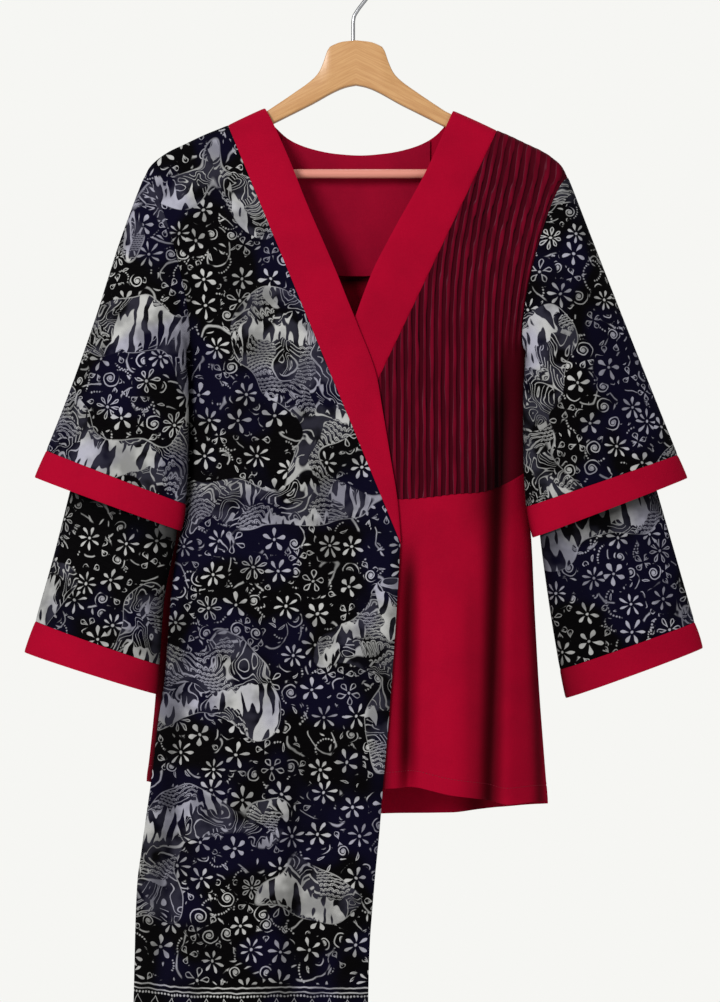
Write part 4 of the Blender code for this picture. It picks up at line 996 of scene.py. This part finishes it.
class Look(Wire):
    """A material, to which the helpers add nodes."""

    def __init__(self, name):
        self.material = bpy.data.materials.new(name)
        self.material.use_nodes = True
        super().__init__(self.material.node_tree)

    def place(self, label="Cloth"):
        return self.node("UVMap", uv_map=label)

    def spot(self):
        """The place on the object, in metres."""
        return self.node("TexCoord", 3)

    def shaded(self, colour):
        """Paints shade into a colour from the Shade layer: darker where the cloth lies deep in a fold or in a
        painted shadow.
        """
        return self.place("Shade").split()[0].blend(colour, (0, 0, 0))

    def finish(self, colour, height, bump, distance, **values):
        """Gives the shader its colour, its relief and the values of its other sockets."""
        values["Base_Color"] = colour
        bump_values = {"Height": height, "Strength": bump, "Distance": distance}
        values["Normal"] = self.node("Bump", 0, bump_values)
        for key, value in values.items():
            self.feed(self.tree.nodes["Principled BSDF"].inputs[key.replace("_", " ")], value)
        return self.material


def cells(place, size, seed, random=0.6):
    """Scattered places: the vector from the nearest one in cells, its distance and three random numbers."""
    moved = place.scaled(*(1 / size,) * 3).shifted((seed * 7.31, seed * 3.77, 0.0))
    centre, distance, colour = moved.node(
        "TexVoronoi", ("Position", "Distance", "Color"),
        {"Vector": moved, "Scale": 1.0, "Randomness": random},
        voronoi_dimensions="2D", feature="F1", distance="EUCLIDEAN",
    )
    picks = colour.node("SeparateColor", (0, 1, 2), {0: colour})
    return moved.vector("SUBTRACT", centre), distance, picks


def around(vector):
    u, v, _ = vector.split()
    return v.atan2(u)


def petal_frame(angle, distance, count, turn):
    """Length along the nearest petal's middle line, and the distance from that line."""
    off = ((angle * count * (1 / math.tau) + turn).fract() - 0.5) * math.tau / count
    return distance * off.cos(), distance * off.sin()


def drop(along, aside, start, end, width, power):
    """Signed distance inside a drop that is widest and blunt towards its end, positive inside."""
    share = ((along - start) * (1 / (end - start))).high(0.0).low(1.0)
    return (share.power(power) * math.pi).sin().high(0.0).power(0.6) * width - aside.abs()


def motif_flowers(place, size, seed, reach, soft):
    """Loose flowers of separate drop-shaped petals; some are filled, others only outlined."""
    away, distance, (chance, turn, kind) = cells(place, size, seed, 0.7)
    count = (chance * 3.99).floor() + 5
    length = reach * (turn * 0.2 + 0.8)
    along, aside = petal_frame(around(away), distance, count, turn * 5.0)
    petal = (around(away) * count * (1 / math.tau) + turn * 5.0).floor()
    uneven = (petal * 2.4 + chance * 40.0).sin().abs()
    length = length * (uneven * 0.2 + 0.84)
    width = (reach * 0.86 / count + 0.01) * (kind * 0.4 + 0.72)
    inside = drop(along / length, aside / length, 0.17, 1.0, width / length, 2.0) * length
    filled = inside.band(0.001, soft * 1.3)
    outline = (inside - 0.018).line(0.014, soft) * inside.band(0.0, 0.006)
    hollow = kind.above(0.72)
    heart = distance.band(reach * 0.1 + soft, reach * 0.1 - soft)
    room = (distance * (1 / reach)).band(1.25, 1.1)
    kept = turn.above(0.1)
    return (filled * (1 - hollow)).high(outline * hollow).high(heart) * kept, room * kept


def motif_scrolls(place, size, seed, reach, soft):
    """Thin spirals round a dot."""
    away, distance, (chance, turn, kind) = cells(place, size, seed, 0.8)
    way = kind.above(0.5) * 2 - 1
    reach = reach * ((chance * 9.0).fract() * 0.75 + 0.75)
    rings = (distance / reach).high(0.02).log(2.718) * 1.15
    spiral = ((around(away) * way * (1 / math.tau)) + turn + rings).fract() - 0.5
    stroke = (spiral.abs() * distance * 3.2).band(0.075 + soft, 0.075 - soft)
    share = distance / reach
    within = share.band(1.0, 0.94) * distance.band(0.05, 0.08)
    dot = distance.band(0.06 + soft * 0.5, 0.06 - soft * 0.5)
    kept = chance.above(0.35)
    return (stroke * within).high(dot) * kept, share.band(1.15, 1.0) * kept


def motif_sprigs(place, size, seed, reach, soft):
    """Sprigs of two to four outlined heart-shaped leaves."""
    away, distance, (chance, turn, kind) = cells(place, size, seed, 0.8)
    count = (chance * 2.99).floor() + 2
    along, aside = petal_frame(around(away), distance, count, turn * 3.0)
    inside = drop(along, aside, 0.03, reach, reach * 0.34, 2.2)
    outline = (inside - 0.026).line(0.018, soft) * inside.band(0.0, 0.008)
    rib = aside.line(0.012, soft) * along.band(reach * 0.72, reach * 0.6)
    kept = kind.above(0.3)
    return outline.high(rib * inside.band(0.0, 0.02)) * kept, distance.band(reach * 1.15, reach) * kept


def motif_leaves(place, size, seed, soft, share):
    """Small bent leaves, filled or only outlined, each turned its own way."""
    away, distance, (chance, turn, kind) = cells(place, size, seed, 0.9)
    u, v, _ = away.split()
    c, s = (turn * 6.28).cos(), (turn * 6.28).sin()
    along, aside = u * c + v * s, v * c - u * s
    bend = aside + along * along * (kind - 0.5) * 1.6
    shape = drop(along, bend, -0.36, 0.36, 0.11, 1.3)
    outline = (shape - 0.03).line(0.03, soft) * shape.band(0.0, 0.01)
    filled = shape.band(0.0, soft * 1.6)
    hollow = kind.above(0.5)
    kept = distance.band(0.5, 0.42) * chance.below(share)
    return (filled * (1 - hollow)).high(outline * hollow) * kept


def bead_arcs(place, size, seed, reach, pitch, soft):
    """Single rows of round dots along parts of circles."""
    away, distance, (chance, turn, kind) = cells(place, size, seed, 0.9)
    dots = round(math.tau * reach / pitch)
    spot = (around(away) * (1 / math.tau) + 0.5) * dots
    off = (spot.fract() - 0.5) * (math.tau * reach / dots)
    from_ring = distance - reach
    nearest = (off * off + from_ring * from_ring).power(0.5)
    dot = nearest.band(pitch * 0.27 + soft, pitch * 0.27 - soft)
    part = (spot.floor() * (1 / dots) + turn).fract().below(kind * 0.4 + 0.25)
    return dot * part * chance.above(0.25)


def scales(place, pitch, soft):
    """Rows of nested arcs, like feathers or roof tiles."""
    u, v, _ = place.scaled(1 / pitch, 1.35 / pitch, 1.0).split()
    across = (u + (v.floor() * 0.5).fract()).fract() - 0.5
    up = v.fract() * 0.8
    reach = (across * across + up * up).power(0.5)
    return (reach - 0.5).line(0.07, soft).high((reach - 0.27).line(0.055, soft))


def line_work(drawn, cloth):
    """Dense fine lines that follow soft shapes, with white places that hold dark strokes."""
    shapes = drawn.noise(15.0, 1.0, 0.45, twist=0.4)
    nested = ((shapes * 17.0).fract() - 0.5).abs().band(0.16, 0.07)
    ribs = drawn.noise(32.0, 0.8, 0.5, twist=0.8)
    fine = ((ribs * 10.0).fract() - 0.5).abs().band(0.13, 0.05)
    bent = cloth.noise(20.0, 1.0, output=1).scaled(0.05, 0.05, 0.0)
    feathers = scales(drawn.shifted(bent), 0.0068, 0.05)
    pick = cloth.noise(24.0, 0.0)
    first, second = pick.band(0.45, 0.455), pick.band(0.55, 0.555)
    lines = feathers * (1 - first) + nested * first * (1 - second) + fine * second
    strokes = drawn.scaled(1.0, 0.28, 1.0).shifted(bent.scaled(0.2, 0.1, 0.0)).noise(130.0, 0.3, 0.4)
    white = (shapes + (strokes - 0.5) * 0.16).band(0.6, 0.607)
    ink = lines * 0.8 * (1 - white) + white * (1 - strokes.band(0.55, 0.585))
    return cloth.noise(34.0, 2.0).band(0.38, 0.62), ink


def hem_border(drawn):
    """A strip along the long hem: rules, a row of outlined triangles, beads and small flowers."""
    u, v, _ = drawn.split()
    down = v * -1.0
    tooth = ((u * 55.0).fract() - 0.5).abs() * 0.036 + 1.078
    strip = (down - tooth).line(0.0007, 0.0005) * down.band(1.0975, 1.096)
    for rule, half_width in ((1.0665, 0.0007), (1.0715, 0.0006), (1.1005, 0.0007), (1.119, 0.0006)):
        strip = strip.high((down - rule).line(half_width, 0.0005))
    bead = ((u * 290.0).fract() - 0.5).join((down - 1.0752) * 290.0).vector("LENGTH", output=1)
    tiny = motif_flowers(drawn, 0.0125, 7, 0.38, 0.035)[0]
    tiny = tiny * down.band(1.102, 1.103) * down.band(1.1175, 1.1165)
    return strip.high(bead.band(0.42, 0.2)).high(tiny)


def batik_look():
    """Black and navy cotton with a grey-white wax-resist design of loose flowers and line-work."""
    look = Look("batik_cotton")
    cloth = look.place()
    wobble = cloth.noise(80.0, 1.0, output=1).shifted((-0.5, -0.5, -0.5))
    drawn = cloth.shifted(wobble.scaled(0.003, 0.003, 0.0))
    across, up, _ = cloth.split()
    on_sleeve = across.band(-0.6, -0.62) * 1.8 + across.band(0.6, 0.62)
    zones = cloth.noise(7.5, 1.5, 0.45) + on_sleeve * 0.012 + up.band(-0.58, -0.48) * 0.018 - 0.004
    busy = zones.band(0.545, 0.55)
    flowers, flower_room = motif_flowers(drawn, 0.039, 1, 0.37, 0.012)
    scrolls, scroll_room = motif_scrolls(drawn, 0.029, 3, 0.25, 0.02)
    sprigs, sprig_room = motif_sprigs(drawn, 0.027, 6, 0.36, 0.02)
    leaves = motif_leaves(drawn, 0.0125, 4, 0.045, 0.5)
    drops = motif_leaves(drawn, 0.0074, 9, 0.07, 0.1)
    dots = bead_arcs(drawn, 0.047, 11, 0.37, 0.066, 0.012)
    dots = dots.high(bead_arcs(drawn, 0.033, 12, 0.34, 0.092, 0.016))
    tendrils = drawn.noise(17.0, 0.5, 0.4)
    tendril = ((tendrils * 5.0).fract() - 0.5).line(0.035, 0.025) * cloth.noise(23.0).band(0.46, 0.48)
    ground_left = 1 - flower_room
    free = ground_left * (1 - scroll_room)
    thin = (1 - sprig_room) * free
    loose = flowers.high(scrolls * ground_left).high(sprigs * free)
    loose = loose.high(leaves.high(tendril * 0.8).high(drops) * thin).high(dots * thin)
    tint, ink = line_work(drawn, cloth)
    design = loose * (1 - busy) + ink * busy
    design = design.high((zones - 0.548).line(0.002, 0.0015) * tendrils.band(0.45, 0.5) * 0.7)
    at_hem = (up * -1.0).band(1.062, 1.0635)
    design = design * (1 - at_hem) + hem_border(drawn) * at_hem
    strength = cloth.noise(22.0, 3.0, 0.6).band(0.35, 0.65) * 0.5 + 0.47
    navy = cloth.noise(9.5, 2.0, 0.5).band(0.46, 0.6)
    ground = navy.blend((3, 2, 3), (8, 6, 27))
    ground = (tint * busy * (1 - at_hem) * 0.5).blend(ground, (60, 59, 72))
    wax = (navy * 0.5).blend((190, 190, 187), (156, 154, 186))
    # painted shade from the Shade layer darkens the colour in folds and shadows
    colour = look.shaded((design * strength).blend(ground, wax))
    slub = cloth.slub(1.0, 6.0, 120.0)
    height = cloth.weave(2400.0) * 0.5 + slub * 0.5
    return look.finish(
        colour, height, 0.35, 0.0003, Roughness=slub.band(0.2, 0.8) * 0.14 + 0.76,
        Sheen_Weight=0.008, Sheen_Roughness=0.5, Specular_IOR_Level=0.04,
    )


def red_look(name, base=(170, 3, 41), shade=(136, 2, 33)):
    """Plain crimson cotton with a fine weave and a soft sheen."""
    look = Look(name)
    cloth = look.place()
    slub, cross = cloth.slub(), cloth.slub(7.0, 1.0)
    share = cloth.noise(14.0, 3.0, 0.55).band(0.3, 0.75) * 0.35 + (slub * cross) * 0.3
    creases = cloth.scaled(1.0, 0.4, 1.0).noise(22.0, 3.0, 0.55, twist=0.4)
    height = cloth.weave(2200.0) * 0.35 + (slub + cross) * 0.3 + creases * 2.2
    # painted shade from the Shade layer darkens the colour in folds and shadows
    colour = look.shaded(share.blend(base, shade))
    return look.finish(
        colour, height, 0.4, 0.0007, Roughness=slub * 0.15 + 0.7,
        Sheen_Weight=0.02, Sheen_Roughness=0.4, Sheen_Tint=linear(230, 30, 70), Specular_IOR_Level=0.05,
    )


def tucked_look():
    """The pintucked red, with light and shade painted into its colour: each tuck's crest is painted bright
    and its shadowed side dark.
    """
    look = Look("pintucked_cotton")
    cloth = look.place()
    tuck, kept, _ = look.place("Tuck").split()
    drift = cloth.scaled(5.0, 0.5, 1.0).noise(42.0, 1.0)
    phase = (tuck + (drift - 0.5) * 0.42).fract()
    # painted light and shade: the crest is painted bright, the fold gets a near-black painted shadow line,
    # and a thin grey painted highlight runs on each tuck's rising side
    lit = phase.band(0.06, 0.18) * phase.band(0.56, 0.46)
    fold_shadow_line = phase.band(0.62, 0.57) * phase.band(0.5, 0.56)
    grey = phase.band(0.02, 0.06) * phase.band(0.13, 0.08)
    mottled = cloth.scaled(3.4, 0.4, 1.0).noise(50.0, 2.0).band(0.3, 0.7)
    colour = (lit * (mottled * 0.6 + 0.45)).blend((64, 1, 16), (110, 3, 31))
    colour = (fold_shadow_line * (1 - mottled * 0.5) * 0.9).blend(colour, (11, 1, 4))
    colour = (grey * (mottled * 0.5 + 0.15)).blend(colour, (112, 52, 68))
    colour = look.shaded((1 - kept).blend(colour, (84, 2, 20)))
    slub = cloth.slub()
    return look.finish(
        colour, cloth.weave(2200.0) * 0.35 + slub * 0.6, 0.35, 0.0004, Roughness=slub * 0.15 + 0.7,
        Sheen_Weight=0.012, Sheen_Roughness=0.4, Specular_IOR_Level=0.05,
    )


def thread_look(name, colour):
    look = Look(name)
    twist = look.spot().noise(900.0, 1.0)
    shade = twist.blend(colour, [c * 0.7 for c in colour])
    return look.finish(shade, twist, 0.3, 0.0002, Roughness=0.55, Specular_IOR_Level=0.35)


def wood_look():
    """Pale varnished wood with its grain along each arm."""
    look = Look("varnished_wood")
    x, y, z = look.spot().split()
    across = z + x.abs() * 0.5
    wander = (x * 1.6).join(across * 24.0, y * 10.0).noise(3.2, 4.0, 0.6, space="3D")
    rings = ((wander * 9.0 + across * 40.0).fract() - 0.5).abs() * 2
    pores = (x * 14.0).join(across * 420.0, y * 200.0).noise(4.0, 2.0, 0.6, space="3D")
    tone = (rings * 0.45 + wander * 0.3).blend((216, 168, 112), (184, 128, 76))
    tone = (pores.band(0.6, 0.72) * 0.35).blend(tone, (165, 112, 68))
    values = {"Roughness": pores * 0.12 + 0.3, "Coat_Weight": 0.25, "Coat_Roughness": 0.2}
    return look.finish(tone, pores * -0.6 + rings * 0.15, 0.15, 0.0003, **values)


def bar_look():
    """The rose-coloured lacquer of the trouser bar, a little rubbed."""
    look = Look("rose_bar")
    x, y, z = look.spot().split()
    streaks = (x * 6.0).join(y * 160.0, z * 160.0).noise(3.0, 3.0, space="3D")
    colour = streaks.blend((234, 156, 138), (214, 132, 114))
    values = {"Roughness": streaks * 0.15 + 0.32, "Coat_Weight": 0.2, "Coat_Roughness": 0.25}
    return look.finish(colour, streaks, 0.08, 0.0003, **values)


def steel_look():
    """Bright wire with fine unevenness."""
    look = Look("steel_wire")
    spot = look.spot()
    fine, cloud = spot.noise(900.0, 2.0, 0.6, space="3D"), spot.noise(60.0, 3.0, space="3D")
    colour = cloud.blend((196, 197, 199), (150, 151, 153))
    return look.finish(colour, fine, 0.06, 0.0002, Metallic=1.0, Roughness=cloud * 0.14 + 0.22)


def floor_look():
    look = Look("pale_floor")
    grains = look.spot().noise(160.0, 3.0, 0.6, space="3D")
    colour = grains.blend((240, 238, 234), (232, 230, 226))
    return look.finish(colour, grains, 0.03, 0.0005, Roughness=0.7, Specular_IOR_Level=0.2)


def dress():
    """Every cloth piece and the hanger, in place of their solids."""
    batik, tucked, red = batik_look(), tucked_look(), red_look("crimson_cotton")
    inside_red = red_look("crimson_facing", (156, 8, 42), (120, 6, 34))
    near_black = thread_look("dark_thread", (34, 32, 42))
    crimson_thread = thread_look("crimson_thread", (150, 14, 44))
    right_front(batik)
    sew_all("stitches_dark", near_black)
    front_band("neckband_right", red, outer_surface, BAND_INNER, OUTER_EDGE, 1)
    front_band("neckband_left", red, under_surface, UNDER_INNER, UNDER_EDGE, -1)
    pintucked_front(tucked)
    lower_front(red)
    back_panel(red)
    back_neck_band(red)
    back_neck_facing(inside_red)
    sleeves(LEFT, "left", batik, red)
    sleeves(RIGHT, "right", batik, red)
    sew_all("stitches_crimson", crimson_thread)
    hanger_wood(wood_look())
    hanger_bar(bar_look())
    hanger_hook(steel_look())


def light(name, place, power, size):
    data = bpy.data.lights.new(name, "AREA")
    data.energy, data.shape, data.size = power, "DISK", size
    made = bpy.data.objects.new(name, data)
    made.location = place
    made.rotation_euler = (Vector(LIT_PLACE) - Vector(place)).to_track_quat("-Z", "Y").to_euler()
    bpy.context.scene.collection.objects.link(made)


def studio():
    """A pale floor, a near-white room, soft lights, and a camera that looks straight at the front."""
    bpy.ops.mesh.primitive_circle_add(
        vertices=128, radius=0.84, fill_type="NGON", location=(0, -0.2, FLOOR_Z)
    )
    floor = bpy.context.object
    floor.name = "floor"
    floor.data.materials.append(floor_look())

    world = bpy.data.worlds.new("studio")
    bpy.context.scene.world = world
    world.use_nodes = True
    tree = Wire(world.node_tree)
    seen = tree.node("Background", 0, {"Color": linear(*WALL_COLOUR)})
    glow = tree.node("Background", 0, {"Color": (1, 1, 1, 1), "Strength": AMBIENT})
    by_camera = tree.node("LightPath", "Is Camera Ray")
    room = tree.node("MixShader", 0, {0: by_camera, 1: glow, 2: seen})
    tree.feed(world.node_tree.nodes["World Output"].inputs["Surface"], room)

    light("key", (-1.5, -2.4, 0.5), KEY_POWER, 1.1)
    light("fill", (1.9, -2.2, -0.5), FILL_POWER, 2.2)
    light("top", (0.2, 0.9, 1.3), TOP_POWER, 1.6)

    lens = bpy.data.cameras.new("camera")
    lens.lens, lens.sensor_width = 102.66, 36.0
    camera = bpy.data.objects.new("camera", lens)
    camera.location = (0.0042, -3.0, -0.5628)
    camera.rotation_euler = (math.pi / 2, 0, 0)
    bpy.context.scene.collection.objects.link(camera)
    bpy.context.scene.camera = camera
    bpy.context.scene.view_settings.view_transform = "Standard"


dress()
studio()
